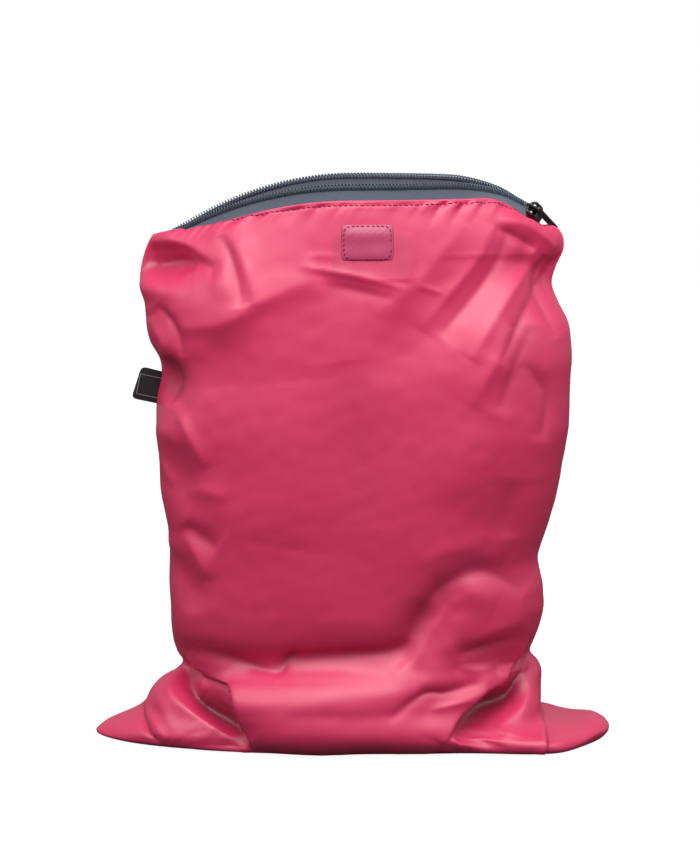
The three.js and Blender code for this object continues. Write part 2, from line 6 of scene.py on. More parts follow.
import bmesh
import bpy
import numpy as np
from bpy.props import FloatProperty, FloatVectorProperty, PointerProperty
from mathutils import Matrix, Vector
from mathutils.bvhtree import BVHTree


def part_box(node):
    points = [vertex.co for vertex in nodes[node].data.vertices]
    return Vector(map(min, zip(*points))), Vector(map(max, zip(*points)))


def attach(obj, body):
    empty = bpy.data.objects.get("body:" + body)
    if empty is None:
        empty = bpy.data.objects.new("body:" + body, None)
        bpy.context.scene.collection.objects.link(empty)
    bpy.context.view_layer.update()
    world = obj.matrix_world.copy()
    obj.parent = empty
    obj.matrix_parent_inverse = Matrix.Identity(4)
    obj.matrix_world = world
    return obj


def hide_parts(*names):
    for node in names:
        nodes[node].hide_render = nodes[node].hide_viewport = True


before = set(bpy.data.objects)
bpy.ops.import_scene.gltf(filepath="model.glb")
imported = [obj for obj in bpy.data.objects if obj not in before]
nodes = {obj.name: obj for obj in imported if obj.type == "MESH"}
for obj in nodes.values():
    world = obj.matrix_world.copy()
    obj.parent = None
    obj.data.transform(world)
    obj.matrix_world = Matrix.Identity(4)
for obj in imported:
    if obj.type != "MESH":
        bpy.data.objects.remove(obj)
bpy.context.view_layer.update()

bl_info = {
    "name": "Wet bag",
    "version": (1, 0, 0),
    "blender": (4, 5, 0),
    "location": "View3D > Sidebar > Wet bag",
    "description": "Dresses the frame of a zip-top wet bag in nylon, zip, patch and label",
    "category": "Object",
}

MM = 0.001
BAG = "bag"
PULL = "pull"
FRONT = -1  # the side of the seam plane, along Y
BACK = 1


class ClothSettings(bpy.types.PropertyGroup):
    """Sizes and colours of the nylon."""

    thickness: FloatProperty(
        name="Thickness", description="Thickness of the coated nylon",
        default=0.45 * MM, min=0.1 * MM, max=1.2 * MM, unit="LENGTH",
    )
    spacing: FloatProperty(
        name="Spacing", description="Distance between neighbouring mesh points",
        default=1.9 * MM, min=1.5 * MM, max=8 * MM, unit="LENGTH",
    )
    flat_width: FloatProperty(
        name="Flat width", description="Width that a panel is cut to",
        default=0.302, min=0.1, max=1.0, unit="LENGTH",
    )
    flat_height: FloatProperty(
        name="Flat height", description="Height that a panel is cut to, hem turn included",
        default=0.392, min=0.1, max=1.0, unit="LENGTH",
    )
    stitch_pitch: FloatProperty(
        name="Stitch pitch", description="Length of one stitch and the gap after it",
        default=3.1 * MM, min=1.5 * MM, max=6 * MM, unit="LENGTH",
    )
    thread: FloatProperty(
        name="Thread", description="Diameter of the sewing thread",
        default=0.7 * MM, min=0.1 * MM, max=1.0 * MM, unit="LENGTH",
    )
    nylon: FloatVectorProperty(
        name="Nylon", description="Colour of the nylon", subtype="COLOR",
        size=4, min=0, max=1, default=(0.73, 0.02, 0.115, 1),
    )
    patch: FloatVectorProperty(
        name="Patch", description="Colour of the patch, where the cloth lies double",
        subtype="COLOR", size=4, min=0, max=1, default=(0.52, 0.03, 0.125, 1),
    )
    stitching: FloatVectorProperty(
        name="Stitching", description="Colour of the sewing thread", subtype="COLOR",
        size=4, min=0, max=1, default=(0.34, 0.008, 0.05, 1),
    )


class ZipSettings(bpy.types.PropertyGroup):
    """Sizes and colours of the zip."""

    tooth_pitch: FloatProperty(
        name="Tooth pitch", description="Distance from one coil tooth to the next",
        default=1.9 * MM, min=1 * MM, max=4 * MM, unit="LENGTH",
    )
    wire: FloatProperty(
        name="Wire", description="Diameter of the nylon wire that the teeth are wound from",
        default=0.85 * MM, min=0.3 * MM, max=1.5 * MM, unit="LENGTH",
    )
    tape: FloatVectorProperty(
        name="Tape", description="Colour of the zip's tape", subtype="COLOR",
        size=4, min=0, max=1, default=(0.115, 0.14, 0.185, 1),
    )
    coil: FloatVectorProperty(
        name="Coil", description="Colour of the zip's teeth", subtype="COLOR",
        size=4, min=0, max=1, default=(0.065, 0.085, 0.12, 1),
    )
    metal: FloatVectorProperty(
        name="Metal", description="Colour of the slider and the pull", subtype="COLOR",
        size=4, min=0, max=1, default=(0.06, 0.055, 0.055, 1),
    )


class LabelSettings(bpy.types.PropertyGroup):
    """Colours of the side label."""

    cloth: FloatVectorProperty(
        name="Label", description="Colour of the woven label", subtype="COLOR",
        size=4, min=0, max=1, default=(0.006, 0.005, 0.006, 1),
    )
    border: FloatVectorProperty(
        name="Border", description="Colour of the line woven along the label's edge",
        subtype="COLOR", size=4, min=0, max=1, default=(0.3, 0.3, 0.31, 1),
    )


class StageSettings(bpy.types.PropertyGroup):
    """Camera, floor and light."""

    distance: FloatProperty(
        name="Distance", description="Camera to the bag",
        default=1.8, min=0.5, max=5, unit="LENGTH",
    )
    elevation: FloatProperty(
        name="Elevation", description="Height of the camera's view above the horizon",
        default=math.radians(9.2), min=0, max=math.radians(89), subtype="ANGLE",
    )
    aim_height: FloatProperty(
        name="Aim height", description="Height of the point that the camera looks at",
        default=0.165, min=0, max=1, unit="LENGTH",
    )
    frame_height: FloatProperty(
        name="Frame height", description="Height that the picture shows at the bag",
        default=0.497, min=0.1, max=2, unit="LENGTH",
    )
    key: FloatProperty(
        name="Key", description="Power of the overhead soft light, in watts",
        default=7.0, min=0, max=500,
    )
    front: FloatProperty(
        name="Front", description="Power of the broad light above the camera, in watts",
        default=6.2, min=0, max=500,
    )
    side: FloatProperty(
        name="Side", description="Power of the soft light on each side, in watts",
        default=3.0, min=0, max=500,
    )
    surround: FloatProperty(
        name="Surround", description="Brightness of the white surround",
        default=0.4, min=0, max=5,
    )


# Folds of the panels. Each row is a line drawn over the cloth from left to right, as seen from
# the front, by the x and z of its points. The cloth rises by height along it, and the rise dies
# out over the widths above and below. A small crease is a sharp fold and a large one a soft
# swell. A step lifts the cloth above the line and sinks the cloth below it, as a lip.
FOLD_COLUMNS = ("name", "line", "height", "above", "below", "crease", "step")
FRONT_FOLDS = (
    ("left lobe valley", ((-123, 279), (-112, 279), (-100, 281), (-88, 280)), -5.0, 6, 9, 1.4, 0),
    ("left lobe roll", ((-117, 290), (-103, 292), (-90, 289), (-76, 281)), 2.8, 6, 5, 2.0, 0),
    ("left lobe dimple", ((-98, 272), (-88, 275), (-79, 276)), 1.6, 3, 5, 0.8, 0),
    ("v valley", ((-75, 297), (-69, 286), (-65, 273), (-62, 258)), -3.8, 6, 5, 1.0, 0),
    ("v crest", ((-66, 296), (-59, 276), (-54, 258)), 1.8, 6, 5, 1.2, 0),
    ("left shoulder", ((-108, 247), (-92, 245), (-74, 248), (-62, 254), (-42, 265), (-18, 275)),
     4.6, 20, 15, 3.0, 0),
    ("patch left crease", ((-26, 286), (-17, 287), (-8, 286)), 0.5, 2, 2, 0.6, 0),
    ("patch wrinkle", ((-30, 281), (-12, 278), (4, 275), (20, 271), (30, 268)), 1.5, 4, 2.6, 0.5, 0),
    ("patch shade", ((-16, 271), (4, 267), (24, 262)), -1.6, 4, 10, 1.5, 0),
    ("right lobe crest", ((83, 305), (97, 302), (108, 295), (117, 286)), 2.6, 5, 5, 1.0, 0),
    ("right lobe valley", ((81, 301), (92, 296), (104, 287)), -2.8, 4, 4, 1.0, 0),
    ("sash crest", ((38, 245), (56, 267), (70, 284), (79, 302)), 2.4, 9, 7, 2.0, 0),
    ("sash valley", ((49, 242), (69, 264), (82, 282), (89, 299)), -2.6, 7, 8, 1.5, 0),
    ("second sash crest", ((67, 228), (83, 255), (95, 271), (107, 284)), 2.8, 9, 7, 1.5, 0),
    ("second sash valley", ((83, 226), (96, 250), (105, 264), (112, 274)), -2.8, 6, 7, 1.2, 0),
    ("third sash", ((12, 254), (34, 270), (51, 289), (63, 305)), 1.4, 10, 9, 2.5, 0),
    ("right edge valley", ((117, 238), (108, 258), (105, 272), (111, 283)), -2.2, 5, 5, 1.0, 0),
    ("long pressed crease", ((47, 286), (77, 286), (107, 284)), 0.4, 1.8, 1.8, 0.4, 0),
    ("short pressed crease", ((36, 270), (51, 265)), 0.7, 2, 2, 0.4, 0),
    ("pressed square side", ((34, 271), (35, 285), (35, 299)), 0.0, 7, 7, 2.0, 0.45),
    ("pressed square foot", ((10, 274), (22, 273), (35, 273)), 0.0, 7, 7, 2.0, 0.4),
    ("waist crease", ((-103, 52), (-86, 57), (-69, 55), (-56, 51), (-43, 47)), -4.4, 9, 5, 0.9, 0),
    ("waist notch", ((-45, 47), (-41, 49), (-38, 55), (-30, 59)), -3.4, 4, 3, 0.7, 0),
    ("waist crease on", ((-42, 54), (-20, 58), (16, 60), (30, 64), (37, 76), (44, 88)),
     -4.4, 11, 5, 1.2, 0),
    ("waist roll", ((-97, 42), (-79, 40), (-60, 30), (-38, 29), (-13, 32), (16, 35), (36, 45)),
     4.4, 15, 24, 8.0, 0),
    ("roll rise", ((22, 46), (36, 56), (45, 73), (55, 86)), 1.8, 5, 8, 2.5, 0),
    ("left pocket lip", ((-98, 49), (-90, 46), (-81, 45), (-72, 42), (-66, 37), (-63, 28), (-61, 17),
     (-56, 4)), 1.0, 14, 4, 0.8, 2.6),
    ("left pocket throat", ((-98, 43), (-94, 35), (-85, 26), (-73, 18), (-59, 7)), -13, 9, 6, 0.8, 0),
    ("left pocket curl", ((-96, 46), (-104, 39), (-105, 31), (-97, 24), (-83, 16), (-69, 9), (-58, 2)),
     3.6, 4, 8, 0.7, 0),
    ("left pocket facet", ((-86, 41), (-88, 36), (-91, 30)), 2.4, 7, 1.6, 0.5, 0),
    ("left ear tuck", ((-125, 20), (-121, 15), (-117, 10), (-112, 4)), -3.0, 3, 2, 0.4, 1.4),
    ("left ear crest", ((-122, 22), (-115, 14), (-107, 6)), 1.8, 5, 2.5, 0.7, 0),
    ("left ear swell", ((-117, 37), (-109, 22), (-99, 7)), 1.6, 8, 6, 2.0, 0),
    ("arch crease", ((34, 68), (41, 84), (50, 96), (64, 105), (76, 106), (88, 100), (99, 91)),
     -3.8, 12, 7, 2.0, 0),
    ("arch ridge", ((47, 70), (55, 86), (68, 94), (83, 88)), 1.3, 7, 12, 3.0, 0),
    ("hook valley", ((60, 57), (66, 60), (83, 63), (99, 65)), -3.8, 7, 3.4, 1.0, 0),
    ("hook ridge", ((60, 51), (71, 49), (82, 50)), 1.8, 2.6, 4, 0.8, 0),
    ("hook upper ridge", ((65, 65), (83, 71), (101, 75)), 1.8, 8, 6, 1.6, 0),
    ("low valley", ((20, 23), (31, 32), (42, 38), (54, 38), (75, 44)), -3.0, 4.6, 4.4, 1.0, 0),
    ("low ridge", ((43, 28), (58, 32), (75, 40)), 2.2, 4, 5, 1.0, 0),
    ("right pocket lip", ((53, 9), (58, 20), (62, 26), (69, 33), (76, 38), (85, 40), (88, 43), (93, 49),
     (103, 60)), 1.0, 12, 4, 0.8, 2.6),
    ("right pocket throat", ((58, 13), (74, 25), (84, 30), (93, 34), (99, 40), (105, 50)),
     -11, 5, 8, 1.2, 0),
    ("right pocket curl", ((82, 15), (94, 21), (102, 29), (107, 43)), 1.8, 4, 8, 1.4, 0),
    ("right wall crease", ((78, 6), (90, 13), (98, 22), (102, 32)), 0.7, 4, 4, 0.8, 0),
    ("right corner edge", ((109, 0), (110, 7), (110, 15)), 0.6, 6, 5, 0.8, 2.4),
    ("left bulge edge", ((-112, 256), (-100, 244), (-97, 228)), -3.0, 4, 6, 0.9, 0),
    ("left bulge", ((-116, 248), (-108, 234), (-110, 224)), 2.0, 6, 6, 1.5, 0),
    ("label dent", ((-107, 226), (-101, 214), (-106, 200)), -5.0, 6, 6, 2.0, 0),
    ("flank ridge", ((-103, 202), (-95, 190), (-83, 166)), 2.6, 6, 11, 1.2, 0),
    ("flank line", ((-110, 168), (-103, 153)), 1.2, 4, 4, 0.6, 0),
    ("flank plane", ((-95, 151), (-83, 152), (-70, 150)), 1.4, 8, 5, 1.0, 0),
    ("flank dent", ((-97, 131), (-87, 125), (-77, 119)), -2.8, 8, 8, 2.0, 0),
    ("low flank ridge", ((-97, 127), (-89, 115), (-82, 101)), 2.4, 6, 9, 1.2, 0),
    ("right broad crest", ((67, 202), (80, 226), (91, 246)), 2.4, 13, 9, 2.0, 0),
    ("right broad valley", ((83, 198), (93, 224), (102, 246)), -2.4, 9, 9, 2.0, 0),
    ("right triangle", ((107, 180), (111, 202), (103, 219), (95, 224)), -2.2, 6, 7, 1.2, 0),
    ("right low hollow", ((91, 159), (89, 143), (87, 125)), -2.0, 11, 11, 3.0, 0),
    ("above the arch", ((34, 111), (51, 118), (67, 121), (87, 111)), 1.2, 10, 10, 3.0, 0),
    ("belly left swell", ((-40, 123), (-34, 172), (-38, 216)), 1.8, 24, 24, 6.0, 0),
    ("belly hollow", ((-4, 228), (2, 182), (8, 133)), -1.4, 22, 22, 6.0, 0),
)
BACK_FOLDS = (
    ("waist crease", ((-97, 55), (-49, 63), (4, 55), (57, 63), (97, 59)), -4.2, 10, 4, 0.9, 0),
    ("waist roll", ((-91, 45), (-45, 51), (4, 44), (57, 50), (91, 45)), 3.6, 6, 11, 2.0, 0),
    ("left corner crease", ((-103, 43), (-85, 29), (-69, 7)), -4.6, 6, 7, 1.0, 0),
    ("right corner crease", ((69, 7), (85, 31), (103, 45)), -4.6, 7, 6, 1.0, 0),
    ("left sash crest", ((-107, 282), (-87, 264), (-65, 238), (-49, 206)), 2.6, 10, 8, 1.6, 0),
    ("left sash valley", ((-109, 270), (-95, 252), (-79, 224)), -2.8, 7, 8, 1.2, 0),
    ("right sash crest", ((43, 212), (61, 240), (85, 266), (105, 284)), 2.6, 8, 10, 1.6, 0),
    ("right sash valley", ((73, 228), (91, 254), (107, 270)), -2.8, 7, 8, 1.2, 0),
    ("middle pull", ((-16, 302), (-6, 264), (-10, 222)), -1.8, 12, 12, 2.5, 0),
    ("left flank ridge", ((-97, 192), (-83, 163), (-79, 123)), 2.4, 7, 10, 1.4, 0),
    ("right flank ridge", ((75, 119), (83, 161), (99, 188)), 2.4, 10, 7, 1.4, 0),
    ("belly swell", ((-45, 99), (0, 111), (43, 103)), 2.0, 15, 17, 3.0, 0),
    ("slack crease", ((-59, 87), (-28, 99), (12, 95)), -2.4, 9, 6, 1.0, 0),
    ("low crease", ((14, 25), (41, 37), (73, 39)), -2.8, 5, 5, 1.0, 0),
)

# Regions that are moved before the cloth is folded: the middle of each, how far it reaches to the
# left, to the right and up, how far it goes, and whether the side seam goes with it.
DRAG_COLUMNS = ("name", "x", "z", "left", "right", "tall", "shift", "forward", "up", "seam")
EAR_DRAGS = (
    ("right ear tip", 145, 5, 11, 20, 9, 0, 0, 4, 1),
)
FRONT_DRAGS = (
    ("right foot corner", 118, 0, 36, 17, 34, -1, 12.5, 0, 0),
    ("front foot", 10, 0, 95, 75, 6, 0, -3, 0, 0),
    ("belly low", 0, 13, 100, 75, 13, 0, 8, 0, 0),
)

# The cloth's mesh and its hem.
DENSE = 0.72  # share of the spacing where the folds are fine
LOOSE = 1.3  # share of it over the calm middle
CALM_TURN = 30 * MM  # length over which the spacing goes from one to the other
CALM_FROM = 0.28  # the calm middle's start and end, as shares of the panel's width
CALM_TO = 0.7
CALM_LOW = 60 * MM  # and its distance from the foot and from the hem
CALM_HIGH = 75 * MM
HEM_DEPTH = 6 * MM  # height of the closely spaced rows, where the stitching shows
HEM_SPACING = 0.75 * MM
HEM_STITCH = 2.3 * MM  # from the hem's edge down to its stitching
HEM_TURN = 7 * MM  # cloth folded in behind the hem
HEM_RADIUS = 0.42 * MM
HEM_ANGLES = (35, 70, 105, 140, 180)
BASE_ROWS = 12
SEAM_GAP = 0.12 * MM  # each panel's edge to the seam plane
MERGE = 0.004 * MM  # distance under which two points of a frame's node are the same

# The folds.
BELL = 0.62  # share of a fold's width at which its rise has died out by two thirds
OVERHANG = 1.6  # how far a lip reaches over, as a share of its step
LIP_SHARP = 1.2  # millimetres over which a lip turns from high to low
FOLD_SHADE_DEPTH = 11  # millimetres below the drawn skin at which a fold's painted shade is darkest
BROAD_LIFT = 0.34  # heights in millimetres of the slow and the fast waves, and of the puckers
FINE_LIFT = 0.06
PUCKER_LIFT = 1.1
STITCH_GROOVE = 0.3

# The cloth's settling.
SETTLE_FRAMES = 12
SETTLE_LIMIT = 4 * MM
HOLD = 0.3  # how firmly the cloth keeps to its drawn shape while it settles
SLACK = 0.018  # share by which the cloth is longer than the drawn shape, near the edges
CALM_SLACK = 0.001  # and over its calm middle
CALM_MIDDLE = 0.165
CALM_HEIGHT = 0.1
CALM_WIDTH = 0.085
CLOTH_PROPERTIES = {
    "quality": 4,
    "mass": 0.05,
    "tension_stiffness": 12,
    "compression_stiffness": 12,
    "shear_stiffness": 6,
    "bending_stiffness": 0.1,
    "tension_damping": 4,
    "compression_damping": 4,
    "shear_damping": 4,
    "bending_damping": 0.5,
    "air_damping": 4,
    "vertex_group_mass": "held",
    "pin_stiffness": 1.0,
    "vertex_group_shrink": "slack",
    "shrink_min": -CALM_SLACK,
    "shrink_max": -SLACK,
}

# The square of cloth that is sewn in behind the patch.
BACKING = {"Left": -0.012, "Right": 0.0345, "Foot": 0.2745, "Head": 0.2985, "Edge": 0.0012}
BACKING_DARK = 0.09

# The patch.
PATCH_COLUMNS = 45
PATCH_ROWS = 31
PATCH_LIFT = 0.1  # millimetres above the cloth at its edge
PATCH_PUFF = 1.5  # and how much more in its middle
PATCH_CREST = 0.42  # where it is puffed most, from 0 at its middle to 1 at its head
PATCH_INSET = 0.9  # place of its stitches, as a share of its half width

# The stitches.
STITCH_SLANT = 0.22
STITCH_SIDES = 6
STITCH_PROFILE = ((-0.5, 0.35), (-0.36, 0.9), (0, 1.0), (0.36, 0.9), (0.5, 0.35))
STITCH_LIFT = 0.3  # above the cloth, as a share of the thread's diameter

# The zip.
TAPE_COLUMNS = 170
TAPE_DEPTH = 8 * MM  # how far the tape reaches down behind the hem
TAPE_INSET = 1.5 * MM  # from the cloth's outer skin back to the tape
TAPE_THICKNESS = 0.6 * MM
LOOP_POINTS = 10
LOOP_HIGH = 1.45 * MM
LOOP_DEEP = 1.15 * MM
LOOP_ROUNDING = 0.75
LOOP_SLANT = 0.35  # share of the pitch by which a loop leans
LOOP_SWELL = 0.25  # how much thicker the wire is at the head of a tooth
WIRE_SIDES = 5
CORD_SIDES = 8
CORD_OUT = 0.6 * MM
CORD_UP = 1.5 * MM
CORD_DROP = 0.9 * MM  # from the chain's middle down to the cord's

# The label.
LABEL_TUCK = 3.2 * MM  # how far the label's root is pushed into the side seam
LABEL_LEAN = math.radians(-12)
LABEL_HALF_WIDTH = 8.2 * MM
LABEL_HALF_HEIGHT = 7.6 * MM
LABEL_BORDER = 1.5 * MM
LABEL_LINE = 0.35 * MM
LINE_EDGE = 0.1 * MM

# The stage.
PICTURE_HEIGHT = 855
AIM_RIGHT = 2.5  # the aim point's place from the picture's middle, in pixels
AIM_BELOW = 29.0
LIGHT_COLUMNS = ("name", "power", "place", "width", "height")
LIGHTS = (
    ("Key", "key", (0.05, -0.45, 1.05), 1.0, 0.5),
    ("Front", "front", (-0.15, -1.3, 1.25), 1.8, 0.5),
    ("Left", "side", (-0.95, -0.5, 0.95), 0.7, 0.7),
    ("Right", "side", (0.95, -0.5, 0.95), 0.7, 0.7),
)
FLOOR_RADIUS = 2.5
FLOOR_GLOW = 0.93  # brightness that the camera alone sees
FLOOR_DARK = 0.08  # the floor's colour as the bag sees it, and as the camera does
FLOOR_PALE = 0.3

SKINS = {}  # each panel's settled skin, kept for the stitches and the tapes


def spline(points, at):
    """Catmull-Rom values of a list of points at fractional places along it."""
    ends = (2 * points[:1] - points[1:2], points, 2 * points[-1:] - points[-2:-1])
    padded = np.concatenate(ends)
    index = np.clip(np.floor(at).astype(int), 0, len(points) - 2)
    t = (at - index).reshape(-1, *([1] * (points.ndim - 1)))
    a, b, c, d = (padded[index + k] for k in range(4))
    return b + 0.5 * t * (c - a + t * (2 * a - 5 * b + 4 * c - d + t * (3 * (b - c) + d - a)))


def smoothstep(x, low, high):
    """0 below low, 1 above high and smooth in between."""
    t = np.clip((x - low) / (high - low), 0, 1)
    return t * t * (3 - 2 * t)


def unit(vectors):
    """Vectors scaled to length 1."""
    length = np.linalg.norm(vectors, axis=-1, keepdims=True)
    return vectors / np.maximum(length, 1e-12)


def lengths_along(points):
    """Distance from the first point to each point of a line."""
    steps = np.linalg.norm(np.diff(points, axis=0), axis=-1)
    return np.concatenate([[0], np.cumsum(steps)])


def layers_from(starts):
    """How many edges each vertex lies from the nearest of the starting ones."""
    layer = {v: 0 for v in starts}
    front = list(starts)
    while front:
        following = []
        for v in front:
            for edge in v.link_edges:
                other = edge.other_vert(v)
                if other not in layer:
                    layer[other] = layer[v] + 1
                    following.append(other)
        front = following
    return layer


def skin_grid(node, side):
    """The outer skin of a panel's node: rows of points from the floor up, each left to right."""
    floor = 0.01 * MM
    seam = 0.2 * MM
    strip = 2 * MM
    base = 1.5 * MM
    mesh = bmesh.new()
    mesh.from_mesh(nodes[node].data)
    bmesh.ops.remove_doubles(mesh, verts=mesh.verts, dist=MERGE)
    mesh.normal_update()

    def is_other(face):
        at_seam = face.normal.y * side < -0.7 and all(abs(v.co.y) < strip for v in face.verts)
        return at_seam or all(v.co.z < base for v in face.verts)

    others = [face for face in mesh.faces if is_other(face)]
    bmesh.ops.delete(mesh, geom=others, context="FACES")
    rows = layers_from([v for v in mesh.verts if v.co.z < floor])
    left = [v for v in rows if abs(v.co.y) < seam and v.co.x < 0]
    top = rows[max(rows, key=lambda v: v.co.z)]
    places = {v: (rows[v], np.array(v.co)) for v in rows if rows[v] <= top}
    bmesh.ops.delete(mesh, geom=[v for v in mesh.verts if v not in places], context="VERTS")
    columns = layers_from([v for v in left if v in places])
    grid = np.full((top + 1, max(columns.values()) + 1, 3), np.nan)
    for v, column in columns.items():
        row, spot = places[v]
        grid[row, column] = spot
    mesh.free()
    if np.isnan(grid).any():
        raise RuntimeError(f"the skin of {node} isn't a full grid of {grid.shape}")
    return grid


def stations(length, spacing, low_end, high_start):
    """Places along a length, denser before low_end and after high_start than in between."""
    fine = np.linspace(0, length, 400)
    calm = smoothstep(fine, low_end, low_end + CALM_TURN)
    calm -= smoothstep(fine, high_start - CALM_TURN, high_start)
    gaps = spacing * (DENSE + (LOOSE - DENSE) * calm)
    count = np.concatenate([[0], np.cumsum(np.diff(fine) / gaps[1:])])
    return np.interp(np.linspace(0, count[-1], round(count[-1]) + 1), count, fine)


def finer(grid, spacing):
    """The same skin with finer rows and columns, closest at the hem."""
    across = np.mean([lengths_along(row) for row in grid], axis=0)
    upward = np.mean([lengths_along(grid[:, c]) for c in range(grid.shape[1])], axis=0)
    width, body = across[-1], upward[-1] - HEM_DEPTH
    spots = stations(width, spacing, CALM_FROM * width, CALM_TO * width)
    columns = np.interp(spots, across, np.arange(len(across)))
    heights = np.concatenate([
        stations(body, spacing, CALM_LOW, body - CALM_HIGH)[:-1],
        np.linspace(body, upward[-1], round(HEM_DEPTH / HEM_SPACING) + 1),
    ])
    rows = np.interp(heights, upward, np.arange(len(upward)))
    wide = spline(np.swapaxes(grid, 0, 1), columns)
    return spline(np.swapaxes(wide, 0, 1), rows)


def outward(grid, side):
    """Unit normals of a grid of points, away from the inside of the bag."""
    along = np.gradient(grid, axis=1)
    upward = np.gradient(grid, axis=0)
    return unit(np.cross(along, upward) * -side)


def signed_distance(x, z, line):
    """Distance to a drawn line, above it positive, share of its length, and the way across it."""
    knots = np.array(line, float)
    smooth = spline(knots, np.linspace(0, len(knots) - 1, 6 * (len(knots) - 1) + 1))
    length = lengths_along(smooth)
    best = np.full(x.shape, 1e9)
    share, signed, across_x, across_z = (np.zeros(x.shape) for _ in range(4))
    for k in range(len(smooth) - 1):
        start, end = smooth[k], smooth[k + 1]
        way = end - start
        size = math.hypot(*way)
        t = np.clip(((x - start[0]) * way[0] + (z - start[1]) * way[1]) / size**2, 0, 1)
        dx = x - start[0] - t * way[0]
        dz = z - start[1] - t * way[1]
        away = np.hypot(dx, dz)
        closer = away < best
        best = np.where(closer, away, best)
        share = np.where(closer, (length[k] + t * (length[k + 1] - length[k])) / length[-1], share)
        signed = np.where(closer, np.sign(way[0] * dz - way[1] * dx) * away, signed)
        across_x = np.where(closer, -way[1] / size, across_x)
        across_z = np.where(closer, way[0] / size, across_z)
    return signed, share, across_x, across_z


def folded(grid, side, folds):
    """The move that the folds give each point of the skin, and how much shade to paint on it, from how
    deep it is sunk by them.
    """
    x, z = grid[..., 0] / MM, grid[..., 2] / MM
    lift, move_x, move_z = (np.zeros(x.shape) for _ in range(3))
    for row in folds:
        fold = dict(zip(FOLD_COLUMNS, row))
        distance, share, across_x, across_z = signed_distance(x, z, fold["line"])
        width = np.where(distance > 0, fold["above"], fold["below"])
        crease = fold["crease"]
        bell = np.exp((crease - np.hypot(distance, crease)) / (BELL * width))
        taper = np.sin(math.pi * np.clip(share, 0, 1)) ** 0.6
        step = fold["step"] * np.tanh(distance / LIP_SHARP)
        lift += (fold["height"] + step) * bell * taper
        hang = OVERHANG * fold["step"] * bell * taper * smoothstep(distance, -0.6, 1.6)
        move_x -= hang * across_x
        move_z -= hang * across_z
    level = np.stack([move_x, np.zeros(x.shape), move_z], axis=-1)
    # Painted shade: how much darker the colour is made where the folds sink the cloth.
    deep = np.clip(-lift / FOLD_SHADE_DEPTH, 0, 1)
    return (lift[..., None] * outward(grid, side) + level) * MM, deep


def seam_distance(grid):
    """Distance of each point from the nearer side seam, along its row."""
    along = np.stack([lengths_along(row) for row in grid])
    return np.minimum(along, along[:, -1:] - along) / MM


def dragged(grid, drags):
    """The skin with whole regions moved, each round its own middle."""
    x, z = grid[..., 0] / MM, grid[..., 2] / MM
    inside = smoothstep(seam_distance(grid), 0, 11)
    floor = smoothstep(z, 0, 3)
    moved = grid.copy()
    for row in drags:
        drag = dict(zip(DRAG_COLUMNS, row))
        reach = np.where(x < drag["x"], drag["left"], drag["right"])
        fall = ((x - drag["x"]) / reach) ** 2 + ((z - drag["z"]) / drag["tall"]) ** 2
        strength = np.exp(-fall) * MM * (1 if drag["seam"] else inside)
        moved[..., 0] += drag["shift"] * strength * floor
        moved[..., 1] -= drag["forward"] * strength
        moved[..., 2] += drag["up"] * strength * floor
    return moved


def ripples(x, z, count, longest, shortest, seed):
    """A smooth random field between about -1 and 1, from waves of the given lengths."""
    draw = np.random.default_rng(seed)
    field = np.zeros(x.shape)
    for _ in range(count):
        wave = math.tau / draw.uniform(shortest, longest)
        turn = draw.uniform(0, math.pi)
        phase = draw.uniform(0, math.tau)
        field += np.cos(wave * (math.cos(turn) * x + math.sin(turn) * z) + phase)
    return field / math.sqrt(count)


def hem_distance(grid):
    """Distance of each point below the hem's edge, along its own column."""
    steps = np.linalg.norm(np.diff(grid, axis=0), axis=-1)
    down = np.cumsum(steps[::-1], axis=0)[::-1]
    return np.concatenate([down, np.zeros((1, grid.shape[1]))])


def gathered(grid, side):
    """Lift of the small puckers that hang from the hem's stitching."""
    below = hem_distance(grid) / MM
    along = np.stack([lengths_along(row) for row in grid]) / MM
    pucker = ripples(along + 0.25 * below, 0 * along, 9, 13, 5, 11 + side)
    strength = 0.6 + 0.5 * ripples(along, 0 * along, 4, 90, 40, 5 + side)
    fall = np.exp(-np.maximum(below - HEM_STITCH / MM, 0) / 4.2)
    rise = smoothstep(below, 0.8, 2.6)
    groove = -STITCH_GROOVE * np.exp(-(((below - HEM_STITCH / MM) / 0.8) ** 2))
    return (PUCKER_LIFT * pucker * strength * fall * rise + groove) * MM


def fade_at_edges(grid):
    """1 over the panel, falling to 0 at the floor, at the hem and at the side seams."""
    seam = smoothstep(seam_distance(grid), 0, 8)
    floor = smoothstep(grid[..., 2] / MM, 0, 4)
    hem = smoothstep(hem_distance(grid) / MM, 1, 7)
    return seam * floor * hem


def turned_hem(grid, normals):
    """Rows of points that fold the cloth over at the hem and down behind it."""
    up = unit(grid[-1] - grid[-2])
    rows = []
    for angle in np.radians(HEM_ANGLES):
        rows.append(
            grid[-1] + HEM_RADIUS * (math.sin(angle) * up - (1 - math.cos(angle)) * normals[-1])
        )
    back = -2 * HEM_RADIUS
    below = hem_distance(grid).mean(axis=1)
    for r in range(len(grid) - 2, 0, -1):
        if below[r] > HEM_TURN:
            break
        rows.append(grid[r] + back * normals[r])
    return np.array(rows)


def base_rows(grid, side):
    """Rows of points under the bag, from the bottom seam out to the panel's foot."""
    foot = grid[0]
    seam = foot.copy()
    seam[:, 1] = side * SEAM_GAP
    shares = np.linspace(0, 1, BASE_ROWS + 1)[:-1]
    return np.array([seam + s * (foot - seam) for s in shares])


